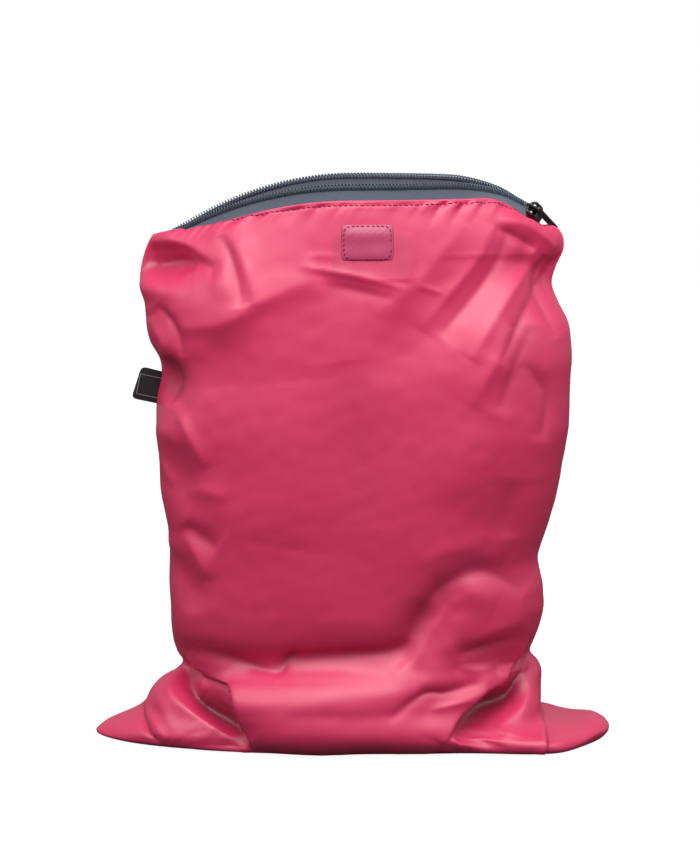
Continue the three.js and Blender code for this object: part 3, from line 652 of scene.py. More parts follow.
def panel_skin(node, side, spacing, folds, drags):
    """The folded skin of one panel, from its foot to its hem, and how much shade is painted where its
    folds sink it.
    """
    grid = dragged(finer(skin_grid(node, side), spacing), drags)
    x, z = grid[..., 0] / MM, grid[..., 2] / MM
    broad = BROAD_LIFT * ripples(x, z, 14, 90, 40, 3 + side)
    fine = FINE_LIFT * ripples(x, z, 24, 17, 8, 23 + side)
    edges = fade_at_edges(grid)
    gathers = gathered(grid, side) * smoothstep(seam_distance(grid), 0, 11)
    lift = (broad + fine) * edges * MM + gathers
    move, deep = folded(grid, side, folds)
    return grid + move * edges[..., None] + lift[..., None] * outward(grid, side), deep


def mesh_object(name, points, faces):
    """A new object at the origin from points and faces."""
    mesh = bpy.data.meshes.new(name)
    mesh.from_pydata([tuple(p) for p in points], [], faces)
    mesh.validate()
    obj = bpy.data.objects.new(name, mesh)
    bpy.context.scene.collection.objects.link(obj)
    mesh.shade_smooth()
    return obj


def sheet_object(name, grid, side):
    """One sheet of cloth from a grid of points, with its own flat lengths as its UV map."""
    rows, columns = grid.shape[:2]
    index = np.arange(rows * columns).reshape(rows, columns)
    quads = np.stack([index[:-1, :-1], index[:-1, 1:], index[1:, 1:], index[1:, :-1]], axis=-1)
    faces = quads.reshape(-1, 4)
    if side == BACK:
        faces = faces[:, ::-1]
    obj = mesh_object(name, grid.reshape(-1, 3), faces.tolist())
    middle = columns // 2
    up = lengths_along(grid[:, middle])
    across = np.stack([lengths_along(row) for row in grid])
    across = across - across[:, middle : middle + 1]
    flat = np.stack([across, np.repeat(up[:, None], columns, axis=1)], axis=-1).reshape(-1, 2)
    layer = obj.data.uv_layers.new(name="Flat")
    corners = np.zeros(len(obj.data.loops), int)
    obj.data.loops.foreach_get("vertex_index", corners)
    layer.data.foreach_set("uv", flat[corners].astype(np.float32).ravel())
    return obj


def select_only(obj):
    """Selects one object and makes it active."""
    bpy.ops.object.select_all(action="DESELECT")
    obj.select_set(True)
    bpy.context.view_layer.objects.active = obj


def merge_close(obj, distance):
    """Merges the points of a mesh that lie closer than a distance."""
    select_only(obj)
    bpy.ops.object.mode_set(mode="EDIT")
    bpy.ops.mesh.select_all(action="SELECT")
    bpy.ops.mesh.remove_doubles(threshold=distance)
    bpy.ops.object.mode_set(mode="OBJECT")


def apply_modifier(obj, kind, name, **settings):
    """Adds one modifier with its settings and applies it."""
    select_only(obj)
    modifier = obj.modifiers.new(name, kind)
    for key, value in settings.items():
        setattr(modifier, key, value)
    bpy.ops.object.modifier_apply(modifier=modifier.name)


def thicken(obj, thickness):
    """Gives a sheet its thickness on the inner side."""
    apply_modifier(
        obj, "SOLIDIFY", "Thickness", thickness=thickness, offset=-1, use_even_offset=False,
    )


def face_outwards(obj):
    """Turns the faces of closed shells outwards."""
    select_only(obj)
    bpy.ops.object.mode_set(mode="EDIT")
    bpy.ops.mesh.select_all(action="SELECT")
    bpy.ops.mesh.normals_make_consistent(inside=False)
    bpy.ops.object.mode_set(mode="OBJECT")


def ring_faces(start, rings, sides, closed):
    """Faces between the rings of a tube, round to the first ring again if it is closed."""
    faces = []
    for ring in range(rings if closed else rings - 1):
        low = start + ring * sides
        high = start + (ring + 1) % rings * sides
        for side in range(sides):
            following = (side + 1) % sides
            faces.append((low + side, low + following, high + following, high + side))
    return faces


def stitches(middles, along, outwards, length, radius, name):
    """Short round-ended stitches, all in one mesh, each laid along its own direction."""
    turn = np.arange(STITCH_SIDES) * math.tau / STITCH_SIDES
    rings = len(STITCH_PROFILE)
    points = []
    faces = []
    for count, (middle, way, out) in enumerate(zip(middles, along, outwards)):
        cross = np.cross(way, out)
        way = unit(way + STITCH_SLANT * cross * (1 if count % 2 else 0.4))
        cross = np.cross(way, out)
        start = len(points)
        for place, share in STITCH_PROFILE:
            sunk = out * radius * (1 - math.cos(place * 2)) * 1.2
            centre = middle + way * place * length - sunk
            ring = centre + radius * share * (
                np.outer(np.cos(turn), cross) + np.outer(np.sin(turn), out)
            )
            points.extend(ring)
        faces += ring_faces(start, rings, STITCH_SIDES, False)
        last = start + (rings - 1) * STITCH_SIDES
        faces.append(tuple(start + side for side in range(STITCH_SIDES))[::-1])
        faces.append(tuple(last + side for side in range(STITCH_SIDES)))
    obj = mesh_object(name, points, faces)
    face_outwards(obj)
    return obj


def evenly(points, pitch):
    """Places, directions and line numbers an even pitch apart along a line."""
    length = lengths_along(points)
    count = max(2, int(length[-1] / pitch))
    places = (np.arange(count) + 0.5) * length[-1] / count
    at = np.interp(places, length, np.arange(len(points)))
    middles = spline(points, at)
    along = unit(spline(points, np.minimum(at + 0.1, len(points) - 1)) - spline(points, at - 0.1))
    return middles, along, at


def material(name):
    """A new material with its node tree and its shader."""
    made = bpy.data.materials.new(name)
    made.use_nodes = True
    tree = made.node_tree
    return made, tree, tree.nodes["Principled BSDF"]


def node(tree, kind, inputs=None, **settings):
    """Adds one node with its settings. Inputs are values or sockets to link from."""
    made = tree.nodes.new(kind)
    for key, value in settings.items():
        setattr(made, key, value)
    for key, value in (inputs or {}).items():
        if isinstance(value, bpy.types.NodeSocket):
            tree.links.new(value, made.inputs[key])
        else:
            made.inputs[key].default_value = value
    return made


def math_node(tree, operation, first, second=0.0):
    """One Math node's result."""
    made = node(tree, "ShaderNodeMath", {0: first, 1: second}, operation=operation)
    return made.outputs[0]


def group(name, inputs, outputs):
    """A new shader node group with its own inputs and outputs."""
    made = bpy.data.node_groups.new(name, "ShaderNodeTree")
    kinds = {float: "NodeSocketFloat", tuple: "NodeSocketColor", Vector: "NodeSocketVector"}
    for label, value in inputs.items():
        socket = made.interface.new_socket(label, in_out="INPUT", socket_type=kinds[type(value)])
        socket.default_value = value
    for label, value in outputs.items():
        made.interface.new_socket(label, in_out="OUTPUT", socket_type=kinds[type(value)])
    entry = made.nodes.new("NodeGroupInput")
    leave = made.nodes.new("NodeGroupOutput")
    return made, entry.outputs, leave.inputs


def weave_group():
    """Height of a plain weave: over and under threads along both flat directions."""
    tree, given, result = group(
        "Weave", {"Flat": Vector((0, 0, 0)), "Pitch": 0.001, "Lean": 0.0}, {"Height": 0.0},
    )
    parts = node(tree, "ShaderNodeSeparateXYZ", {0: given["Flat"]}).outputs
    turns = math_node(tree, "DIVIDE", math.tau, given["Pitch"])
    u = math_node(tree, "MULTIPLY", parts["X"], turns)
    v = math_node(tree, "MULTIPLY", parts["Y"], turns)
    leaning = math_node(tree, "MULTIPLY", v, given["Lean"])
    warp = math_node(tree, "SINE", math_node(tree, "ADD", u, leaning))
    weft = math_node(tree, "SINE", v)
    crossed = math_node(tree, "MULTIPLY", warp, weft)
    tree.links.new(crossed, result["Height"])
    return tree


def mottle_group():
    """A colour varied slowly over the surface, lighter here and deeper there."""
    tree, given, result = group(
        "Mottle",
        {"Vector": Vector((0, 0, 0)), "Colour": (1.0, 1.0, 1.0, 1.0), "Scale": 20.0,
         "Amount": 0.1},
        {"Colour": (1.0, 1.0, 1.0, 1.0), "Mask": 0.0},
    )
    noise = node(tree, "ShaderNodeTexNoise", {"Vector": given["Vector"], "Scale": given["Scale"],
                                              "Detail": 4.0, "Roughness": 0.55})
    swing = math_node(tree, "SUBTRACT", noise.outputs["Fac"], 0.5)
    amount = math_node(tree, "MULTIPLY", swing, given["Amount"])
    value = math_node(tree, "ADD", amount, 1.0)
    tint = node(tree, "ShaderNodeHueSaturation", {"Color": given["Colour"], "Value": value})
    tree.links.new(tint.outputs["Color"], result["Colour"])
    tree.links.new(noise.outputs["Fac"], result["Mask"])
    return tree


def rectangle_group():
    """A soft-edged upright rectangle."""
    tree, given, result = group(
        "Rectangle",
        {"Vector": Vector((0, 0, 0)), "Left": -1.0, "Right": 1.0, "Foot": -1.0, "Head": 1.0,
         "Edge": 0.001},
        {"Mask": 0.0},
    )
    parts = node(tree, "ShaderNodeSeparateXYZ", {0: given["Vector"]}).outputs

    def side_mask(inner, outer):
        past = math_node(tree, "DIVIDE", math_node(tree, "SUBTRACT", inner, outer), given["Edge"])
        return node(tree, "ShaderNodeClamp", {"Value": past}).outputs["Result"]

    sides = (
        side_mask(parts["X"], given["Left"]), side_mask(given["Right"], parts["X"]),
        side_mask(parts["Z"], given["Foot"]), side_mask(given["Head"], parts["Z"]),
    )
    wide = math_node(tree, "MULTIPLY", sides[0], sides[1])
    tall = math_node(tree, "MULTIPLY", sides[2], sides[3])
    tree.links.new(math_node(tree, "MULTIPLY", wide, tall), result["Mask"])
    return tree


def fold_shade_and_backing_group():
    """A cloth colour made darker and richer by painted shade inside deep folds, and darker over a
    backing.
    """
    white = (1.0, 1.0, 1.0, 1.0)
    tree, given, result = group(
        "Deepened",
        {"Colour": white, "Deep": 0.0, "Backed": 0.0, "Fold dark": 0.6, "Backing dark": 0.0},
        {"Colour": white},
    )
    # Painted shade inside deep folds, added to the backing's own darker tone.
    fold = math_node(tree, "MULTIPLY", given["Deep"], given["Fold dark"])
    backing = math_node(tree, "MULTIPLY", given["Backed"], given["Backing dark"])
    value = math_node(tree, "SUBTRACT", 1.0, math_node(tree, "ADD", fold, backing))
    tint = node(tree, "ShaderNodeHueSaturation", {"Color": given["Colour"], "Value": value})
    tree.links.new(tint.outputs["Color"], result["Colour"])
    return tree


def use_group(tree, made, inputs):
    """Places a node group in a material."""
    placed = tree.nodes.new("ShaderNodeGroup")
    placed.node_tree = made
    for key, value in inputs.items():
        if isinstance(value, bpy.types.NodeSocket):
            tree.links.new(value, placed.inputs[key])
        else:
            placed.inputs[key].default_value = value
    return placed.outputs


def shared_groups():
    """The node groups, built at their first use."""
    found = bpy.data.node_groups
    return {
        "weave": found.get("Weave") or weave_group(),
        "mottle": found.get("Mottle") or mottle_group(),
        "rectangle": found.get("Rectangle") or rectangle_group(),
        "fold_shade_and_backing": found.get("Deepened") or fold_shade_and_backing_group(),
    }


def toned_material(name, colour, scale, amount):
    """A new material with a varied colour: it, its tree, shader, coordinates and tone."""
    made, tree, shader = material(name)
    place = node(tree, "ShaderNodeTexCoord").outputs
    tone = use_group(
        tree, shared_groups()["mottle"],
        {"Vector": place["Object"], "Colour": tuple(colour), "Scale": scale, "Amount": amount},
    )
    tree.links.new(tone["Colour"], shader.inputs["Base Color"])
    return made, tree, shader, place, tone


def vary_roughness(tree, shader, mask, low, high):
    """Lets the roughness follow a mask from low to high."""
    rough = node(tree, "ShaderNodeMapRange", {"Value": mask, "To Min": low, "To Max": high})
    tree.links.new(rough.outputs["Result"], shader.inputs["Roughness"])


def bump(tree, height, strength, distance, **more):
    """The normal of a relief."""
    inputs = {"Strength": strength, "Distance": distance, "Height": height, **more}
    return node(tree, "ShaderNodeBump", inputs).outputs["Normal"]


def nylon_material(name, colour, backing=0.0):
    """Satin coated nylon: soft broad gloss, a fine weave, faint rumples, and shade painted into its
    deep folds.
    """
    made, tree, shader, place, tone = toned_material(name, colour, 9.0, 0.16)
    groups = shared_groups()
    # Painted shade: the cloth's colour darkens inside deep folds, as far as the folds sink it.
    deep = node(tree, "ShaderNodeAttribute", attribute_name="deep").outputs["Fac"]
    backed = use_group(tree, groups["rectangle"], {"Vector": place["Object"], **BACKING})
    shade = use_group(
        tree, groups["fold_shade_and_backing"],
        {"Colour": tone["Colour"], "Deep": deep, "Backed": backed["Mask"],
         "Backing dark": backing},
    )
    tree.links.new(shade["Colour"], shader.inputs["Base Color"])
    vary_roughness(tree, shader, tone["Mask"], 0.44, 0.52)
    weave = use_group(tree, groups["weave"], {"Flat": place["UV"], "Pitch": 0.0007})
    rumple = node(
        tree, "ShaderNodeTexNoise",
        {"Vector": place["Object"], "Scale": 95.0, "Detail": 5.0, "Roughness": 0.55},
    )
    fine = bump(tree, weave["Height"], 0.25, 0.00004)
    soft = bump(tree, rumple.outputs["Fac"], 0.2, 0.0002, Normal=fine)
    tree.links.new(soft, shader.inputs["Normal"])
    shader.inputs["Specular IOR Level"].default_value = 0.95
    shader.inputs["Coat Weight"].default_value = 0.2
    shader.inputs["Coat Roughness"].default_value = 0.36
    return made


def thread_material(name, colour):
    """Twisted sewing thread."""
    made, tree, shader, place, _ = toned_material(name, colour, 400.0, 0.5)
    twist = node(
        tree, "ShaderNodeTexWave",
        {"Vector": place["Object"], "Scale": 900.0, "Distortion": 1.5},
        bands_direction="DIAGONAL",
    )
    tree.links.new(bump(tree, twist.outputs["Fac"], 0.5, 0.00006), shader.inputs["Normal"])
    shader.inputs["Roughness"].default_value = 0.55
    return made


def twill_material(name, colour, pitch, rough):
    """Woven twill tape: fine slanted ribs, with painted shade in their grooves and painted light on
    their crests.
    """
    made, tree, shader, place, tone = toned_material(name, colour, 140.0, 0.25)
    weave = use_group(
        tree, shared_groups()["weave"], {"Flat": place["UV"], "Pitch": pitch, "Lean": 0.5},
    )
    # Painted shade and light: the colour is darker where the weave is low and lighter where it is high.
    shade = node(
        tree, "ShaderNodeMapRange",
        {"Value": weave["Height"], "From Min": -1.0, "From Max": 1.0, "To Min": 0.8,
         "To Max": 1.12},
    )
    shaded_ribs = node(
        tree, "ShaderNodeHueSaturation",
        {"Color": tone["Colour"], "Value": shade.outputs["Result"]},
    )
    tree.links.new(shaded_ribs.outputs["Color"], shader.inputs["Base Color"])
    tree.links.new(bump(tree, weave["Height"], 0.6, 0.00012), shader.inputs["Normal"])
    shader.inputs["Roughness"].default_value = rough
    shader.inputs["Sheen Weight"].default_value = 0.2
    return made


def coil_material(name, colour):
    """Moulded polyester wire of the zip's teeth."""
    made, tree, shader, _, tone = toned_material(name, colour, 300.0, 0.4)
    vary_roughness(tree, shader, tone["Mask"], 0.25, 0.4)
    return made


def metal_material(name, colour):
    """Dark plated zinc, worn lighter in places."""
    made, tree, shader, place, tone = toned_material(name, colour, 260.0, 0.9)
    vary_roughness(tree, shader, tone["Mask"], 0.22, 0.42)
    grain = node(tree, "ShaderNodeTexNoise", {"Vector": place["Object"], "Scale": 1500.0})
    tree.links.new(bump(tree, grain.outputs["Fac"], 0.2, 0.00003), shader.inputs["Normal"])
    shader.inputs["Metallic"].default_value = 0.85
    return made


def finish_piece(obj, made, body=BAG):
    """Gives a piece its material and the body that it moves with."""
    obj.data.materials.clear()
    obj.data.materials.append(made)
    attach(obj, body)


def settled(grid, side):
    """The panel after a short cloth simulation that lets slack cloth buckle into small folds."""
    obj = sheet_object("slack_cloth", grid, side)
    held = 1 - fade_at_edges(grid)
    around = (grid[..., 0] / CALM_WIDTH) ** 2 + ((grid[..., 2] - CALM_MIDDLE) / CALM_HEIGHT) ** 2
    for name, weights in (
        ("held", HOLD + (1 - HOLD) * held),
        ("slack", 1 - np.exp(-(around**2))),
    ):
        made = obj.vertex_groups.new(name=name)
        for index, weight in enumerate(weights.ravel()):
            made.add([index], float(weight), "REPLACE")
    modifier = obj.modifiers.new("Cloth", "CLOTH")
    modifier.point_cache.frame_start = 1
    modifier.point_cache.frame_end = SETTLE_FRAMES
    modifier.collision_settings.use_collision = False
    cloth = modifier.settings
    cloth.effector_weights.gravity = 0
    for key, value in CLOTH_PROPERTIES.items():
        setattr(cloth, key, value)
    for frame_number in range(1, SETTLE_FRAMES + 1):
        bpy.context.scene.frame_set(frame_number)
    shape = obj.evaluated_get(bpy.context.evaluated_depsgraph_get()).data
    moved = np.zeros(len(shape.vertices) * 3)
    shape.vertices.foreach_get("co", moved)
    mesh = obj.data
    bpy.data.objects.remove(obj)
    bpy.data.meshes.remove(mesh)
    bpy.context.scene.frame_set(1)
    change = moved.reshape(grid.shape) - grid
    size = np.linalg.norm(change, axis=-1, keepdims=True)
    return grid + change * np.minimum(1, SETTLE_LIMIT / np.maximum(size, 1e-9))


class WETBAG_OT_cloth(bpy.types.Operator):
    """Lays, folds and settles the front and back panels"""

    bl_idname = "wetbag.cloth"
    bl_label = "Cloth panels"

    def execute(self, context):
        look = context.scene.wetbag_cloth
        plan = (
            ("front_cloth", "front_panel", FRONT, FRONT_FOLDS, FRONT_DRAGS + EAR_DRAGS),
            ("back_cloth", "back_panel", BACK, BACK_FOLDS, EAR_DRAGS),
        )
        for name, source, side, folds, drags in plan:
            backing = BACKING_DARK if side == FRONT else 0.0
            made = nylon_material("Nylon " + name.split("_")[0], look.nylon, backing=backing)
            drawn, deep = panel_skin(source, side, look.spacing, folds, drags)
            skin = settled(drawn, side)
            normals = outward(skin, side)
            base, hem = base_rows(skin, side), turned_hem(skin, normals)
            whole = np.concatenate([base, skin, hem])
            obj = sheet_object(name, whole, side)
            # Painted shade: how much the colour darkens where the folds sink the cloth, kept on each
            # point.
            shade = np.pad(deep, ((len(base), len(hem)), (0, 0)), mode="edge")
            layer = obj.data.attributes.new("deep", "FLOAT", "POINT")
            layer.data.foreach_set("value", shade.astype(np.float32).ravel())
            merge_close(obj, 0.002 * MM)
            thicken(obj, look.thickness)
            finish_piece(obj, made)
            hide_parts(source)
            SKINS[name] = skin
        return {"FINISHED"}


class WETBAG_OT_stitching(bpy.types.Operator):
    """Sews the row of stitches along each hem"""

    bl_idname = "wetbag.stitching"
    bl_label = "Hem stitching"

    def execute(self, context):
        look = context.scene.wetbag_cloth
        made = thread_material("Thread", look.stitching)
        for name, side in (("front", FRONT), ("back", BACK)):
            skin = SKINS[name + "_cloth"]
            normals = outward(skin, side)
            below = hem_distance(skin).mean(axis=1)
            row = np.interp(-HEM_STITCH, -below, np.arange(len(below)))
            line = spline(skin, np.array([row]))[0]
            out = spline(normals, np.array([row]))[0]
            middles, along, at = evenly(line[2:-2], look.stitch_pitch)
            outs = unit(spline(out[2:-2], at))
            obj = stitches(
                middles + outs * look.thread * STITCH_LIFT, along, outs, look.stitch_pitch * 0.8,
                look.thread / 2, name + "_hem_stitches",
            )
            finish_piece(obj, made)
        return {"FINISHED"}


def ring_centres(node_name):
    """Middles of the rings of points that a tube-like node is made of, from left to right."""
    mesh = bmesh.new()
    mesh.from_mesh(nodes[node_name].data)
    bmesh.ops.remove_doubles(mesh, verts=mesh.verts, dist=MERGE)
    start = min(mesh.verts, key=lambda v: v.co.x)
    cap = max(start.link_faces, key=lambda f: abs(f.normal.x) + abs(f.normal.z) * 0.1)
    seen = set(cap.verts)
    grown = True
    while grown:
        grown = False
        for face in mesh.faces:
            if face.normal.dot(cap.normal) > 0.999 and seen & set(face.verts):
                if not set(face.verts) <= seen:
                    seen |= set(face.verts)
                    grown = True
    layer = layers_from(list(seen))
    rings = [[] for _ in range(max(layer.values()) + 1)]
    for v, k in layer.items():
        rings[k].append(np.array(v.co))
    mesh.free()
    return np.array([np.mean(ring, axis=0) for ring in rings])


class WETBAG_OT_teeth(bpy.types.Operator):
    """Winds the coil teeth of both halves of the zip round their cords"""

    bl_idname = "wetbag.teeth"
    bl_label = "Coil teeth"

    def execute(self, context):
        look = context.scene.wetbag_zip
        made = coil_material("Coil", look.coil)
        for name, side in (("front", FRONT), ("back", BACK)):
            source = name + "_zip_coil"
            line = ring_centres(source)
            obj = coil_object(name + "_teeth", line, side, look.tooth_pitch, look.wire)
            finish_piece(obj, made)
            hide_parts(source)
        return {"FINISHED"}


def tape_direction(points, side):
    """Unit directions along a chain, up its tape and out of the tape's outer face."""
    along = unit(np.gradient(points, axis=0))
    up = np.tile(np.array([0.0, 0.0, 1.0]), (len(points), 1))
    up = unit(up - along * np.sum(up * along, axis=1, keepdims=True))
    out = unit(np.cross(along, up) * -side)
    return along, up, out


def coil_object(name, line, side, pitch, wire):
    """A cord with wire loops wound round it, in one mesh."""
    fine = spline(line, np.linspace(0, len(line) - 1, 12 * len(line)))
    length = lengths_along(fine)
    count = int(length[-1] / pitch)
    places = np.interp((np.arange(count) + 0.5) * pitch, length, np.arange(len(fine)))
    middles = spline(fine, places)
    along, up, out = tape_direction(middles, side)
    loop = np.arange(LOOP_POINTS) * math.tau / LOOP_POINTS
    ring_up = LOOP_HIGH * np.sign(np.sin(loop)) * np.abs(np.sin(loop)) ** LOOP_ROUNDING
    ring_out = LOOP_DEEP * np.sign(np.cos(loop)) * np.abs(np.cos(loop)) ** LOOP_ROUNDING
    slant = LOOP_SLANT * pitch * np.cos(loop)
    turn = np.arange(WIRE_SIDES) * math.tau / WIRE_SIDES
    points = []
    faces = []
    for middle, a, u, o in zip(middles, along, up, out):
        start = len(points)
        path = middle + np.outer(ring_up, u) + np.outer(ring_out, o) + np.outer(slant, a)
        away = unit(np.outer(ring_up, u) + np.outer(ring_out, o))
        swell = 1 + LOOP_SWELL * np.clip(ring_up / LOOP_HIGH, 0, 1) ** 3
        for centre, radial, big in zip(path, away, swell):
            ring = centre + wire / 2 * big * (
                np.outer(np.cos(turn), radial) + np.outer(np.sin(turn), a)
            )
            points.extend(ring)
        faces += ring_faces(start, LOOP_POINTS, WIRE_SIDES, True)
    around = np.arange(CORD_SIDES) * math.tau / CORD_SIDES
    spots = fine[::4]
    _, ups, outs = tape_direction(spots, side)
    start = len(points)
    for spot, u, o in zip(spots, ups, outs):
        ring = CORD_OUT * np.outer(np.cos(around), o) + CORD_UP * np.outer(np.sin(around), u)
        points.extend(spot - CORD_DROP * u + ring)
    faces += ring_faces(start, len(spots), CORD_SIDES, False)
    last = start + (len(spots) - 1) * CORD_SIDES
    faces.append(tuple(start + side for side in range(CORD_SIDES)))
    faces.append(tuple(last + side for side in range(CORD_SIDES)))
    obj = mesh_object(name, points, faces)
    face_outwards(obj)
    return obj


def node_copy(source, name):
    """A copy of a CAD node's mesh, with its doubles merged, as a new object."""
    mesh = nodes[source].data.copy()
    mesh.name = name
    obj = bpy.data.objects.new(name, mesh)
    bpy.context.scene.collection.objects.link(obj)
    merge_close(obj, MERGE)
    return obj


def soften(obj, width, segments, angle):
    """Rounds the sharp edges of a mesh and shades the rest smooth."""
    apply_modifier(
        obj, "BEVEL", "Edges", width=width, segments=segments, limit_method="ANGLE",
        angle_limit=math.radians(angle), harden_normals=False,
    )
    select_only(obj)
    bpy.ops.object.shade_smooth_by_angle(angle=math.radians(40))


def tape_grid(name, side):
    """Rows of points of a zip tape, from behind the cloth's hem up to its chain of teeth."""
    line = ring_centres(name + "_zip_coil")
    top = spline(line, np.linspace(0, len(line) - 1, TAPE_COLUMNS))
    skin = SKINS[name + "_cloth"]
    below = hem_distance(skin).mean(axis=1)

    def behind_cloth(depth, inset):
        row = np.interp(-depth, -below, np.arange(len(below)))
        edge = spline(skin, np.array([row]))[0]
        order = np.argsort(edge[:, 0])
        found = [np.interp(top[:, 0], edge[order, 0], edge[order, k]) for k in (1, 2)]
        return np.stack([top[:, 0], found[0] - side * inset, found[1]], axis=-1)

    lower = [behind_cloth(depth, TAPE_INSET) for depth in np.linspace(TAPE_DEPTH, 0.5 * MM, 12)]
    upper = [lower[-1] + s * (top - lower[-1]) for s in np.linspace(0, 1, 8)[1:]]
    return np.array(lower + upper)


class WETBAG_OT_tapes(bpy.types.Operator):
    """Weaves the two zip tapes"""

    bl_idname = "wetbag.tapes"
    bl_label = "Zip tapes"

    def execute(self, context):
        look = context.scene.wetbag_zip
        made = twill_material("Tape", look.tape, 0.0011, 0.75)
        for name, side in (("front", FRONT), ("back", BACK)):
            obj = sheet_object(name + "_tape", tape_grid(name, side), side)
            thicken(obj, TAPE_THICKNESS)
            finish_piece(obj, made)
            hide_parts(name + "_zip_tape")
        return {"FINISHED"}


def flatten_uv(obj):
    """A UV map in metres over a flat piece, along its length and its height, from its middle."""
    mesh = obj.data
    points = np.zeros(len(mesh.vertices) * 3)
    mesh.vertices.foreach_get("co", points)
    points = points.reshape(-1, 3)[:, [0, 2]]
    points = points - (points.min(axis=0) + points.max(axis=0)) / 2
    turn = -LABEL_LEAN
    flat = points @ np.array([[math.cos(turn), math.sin(turn)], [-math.sin(turn), math.cos(turn)]])
    layer = mesh.uv_layers.get("Flat") or mesh.uv_layers.new(name="Flat")
    corners = np.zeros(len(mesh.loops), int)
    mesh.loops.foreach_get("vertex_index", corners)
    layer.data.foreach_set("uv", flat[corners].astype(np.float32).ravel())


def add_border(tree, colour):
    """Weaves a thin plain line along the label's edge."""
    place = node(tree, "ShaderNodeTexCoord").outputs["UV"]
    turned = node(
        tree, "ShaderNodeVectorRotate", {"Vector": place, "Angle": math.radians(90)},
        rotation_type="X_AXIS",
    ).outputs[0]
    masks = []
    for inset in (LABEL_BORDER, LABEL_BORDER + LABEL_LINE):
        wide, tall = LABEL_HALF_WIDTH - inset, LABEL_HALF_HEIGHT - inset
        masks.append(use_group(tree, shared_groups()["rectangle"], {
            "Vector": turned, "Left": -wide, "Right": 1.0, "Foot": -tall, "Head": tall,
            "Edge": LINE_EDGE,
        })["Mask"])
    line = math_node(tree, "SUBTRACT", masks[0], masks[1])
    shader = tree.nodes["Principled BSDF"]
    under = shader.inputs["Base Color"].links[0].from_socket
    mix = node(tree, "ShaderNodeMix", data_type="RGBA")
    tree.links.new(line, mix.inputs["Factor"])
    tree.links.new(under, mix.inputs[6])
    mix.inputs[7].default_value = tuple(colour)
    tree.links.new(mix.outputs[2], shader.inputs["Base Color"])


class WETBAG_OT_slider(bpy.types.Operator):
    """Casts the slider and its pull"""

    bl_idname = "wetbag.slider"
    bl_label = "Slider and pull"

    def execute(self, context):
        look = context.scene.wetbag_zip
        made = metal_material("Gunmetal", look.metal)
        for source, name, width, body in (
            ("zip_slider", "slider_body", 0.22 * MM, BAG),
            ("zip_pull", "pull_blade", 0.28 * MM, PULL),
        ):
            obj = node_copy(source, name)
            soften(obj, width, 2, 35)
            finish_piece(obj, made, body)
            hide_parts(source)
        return {"FINISHED"}


class WETBAG_OT_patch(bpy.types.Operator):
    """Sews the puffed patch onto the front"""

    bl_idname = "wetbag.patch"
    bl_label = "Front patch"

    def execute(self, context):
        look = context.scene.wetbag_cloth
        low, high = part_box("front_patch")
        skin = bpy.data.objects["front_cloth"]
        tree = BVHTree.FromObject(skin, context.evaluated_depsgraph_get())
        half_width = (high.x - low.x) / 2
        half_height = (high.z - low.z) / 2
        middle = (low + high) / 2

        def on_skin(a, b):
            start = Vector((middle.x + a * half_width, low.y - 0.05, middle.z + b * half_height))
            spot, normal, _, _ = tree.ray_cast(start, Vector((0, 1, 0)))
            return np.array(spot), np.array(normal)

        corner = 5.0
        grid = np.zeros((PATCH_ROWS, PATCH_COLUMNS, 3))
        for r, b in enumerate(np.linspace(-1, 1, PATCH_ROWS)):
            for c, a in enumerate(np.linspace(-1, 1, PATCH_COLUMNS)):
                pull = 1 - 0.05 * (abs(a) ** corner) * (abs(b) ** corner)
                spot, normal = on_skin(a * pull, b * pull)
                rise = (1 - abs(a) ** 7) * (1 - abs(b) ** 5)
                crest = 0.55 + 0.45 * math.exp(-(((b - PATCH_CREST) / 0.42) ** 2))
                grid[r, c] = spot + normal * (PATCH_LIFT + PATCH_PUFF * rise * crest) * MM
        obj = sheet_object("patch_cloth", grid, FRONT)
        thicken(obj, look.thickness)
        finish_piece(obj, nylon_material("Patch nylon", look.patch))
        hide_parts("front_patch")
        outline = []
        for turn in np.linspace(0, math.tau, 121)[:-1]:
            c, s = math.cos(turn), math.sin(turn)
            a = PATCH_INSET * math.copysign(abs(c) ** (1 / 3), c)
            b = PATCH_INSET * math.copysign(abs(s) ** (1 / 3), s)
            outline.append((a, b))
        tree = BVHTree.FromObject(obj, context.evaluated_depsgraph_get())
        spots, normals = zip(*(on_skin(a, b) for a, b in outline))
        middles, along, at = evenly(np.array(spots), look.stitch_pitch * 0.85)
        outs = unit(spline(np.array(normals), at))
        sewn = stitches(
            middles + outs * look.thread * STITCH_LIFT, along, outs, look.stitch_pitch * 0.66,
            look.thread / 2, "patch_stitches",
        )
        finish_piece(sewn, bpy.data.materials["Thread"])
        return {"FINISHED"}


class WETBAG_OT_label(bpy.types.Operator):
    """Tucks the side label into the seam, rounds its edges and gives it a woven border"""

    bl_idname = "wetbag.label"
    bl_label = "Side label"

    def execute(self, context):
        look = context.scene.wetbag_label
        obj = node_copy("side_label", "label_fold")
        obj.data.transform(Matrix.Translation((LABEL_TUCK, 0, 0)))
        soften(obj, 0.3 * MM, 3, 35)
        flatten_uv(obj)
        made = twill_material("Label", look.cloth, 0.0009, 0.6)
        add_border(made.node_tree, look.border)
        finish_piece(obj, made)
        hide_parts("side_label")
        return {"FINISHED"}


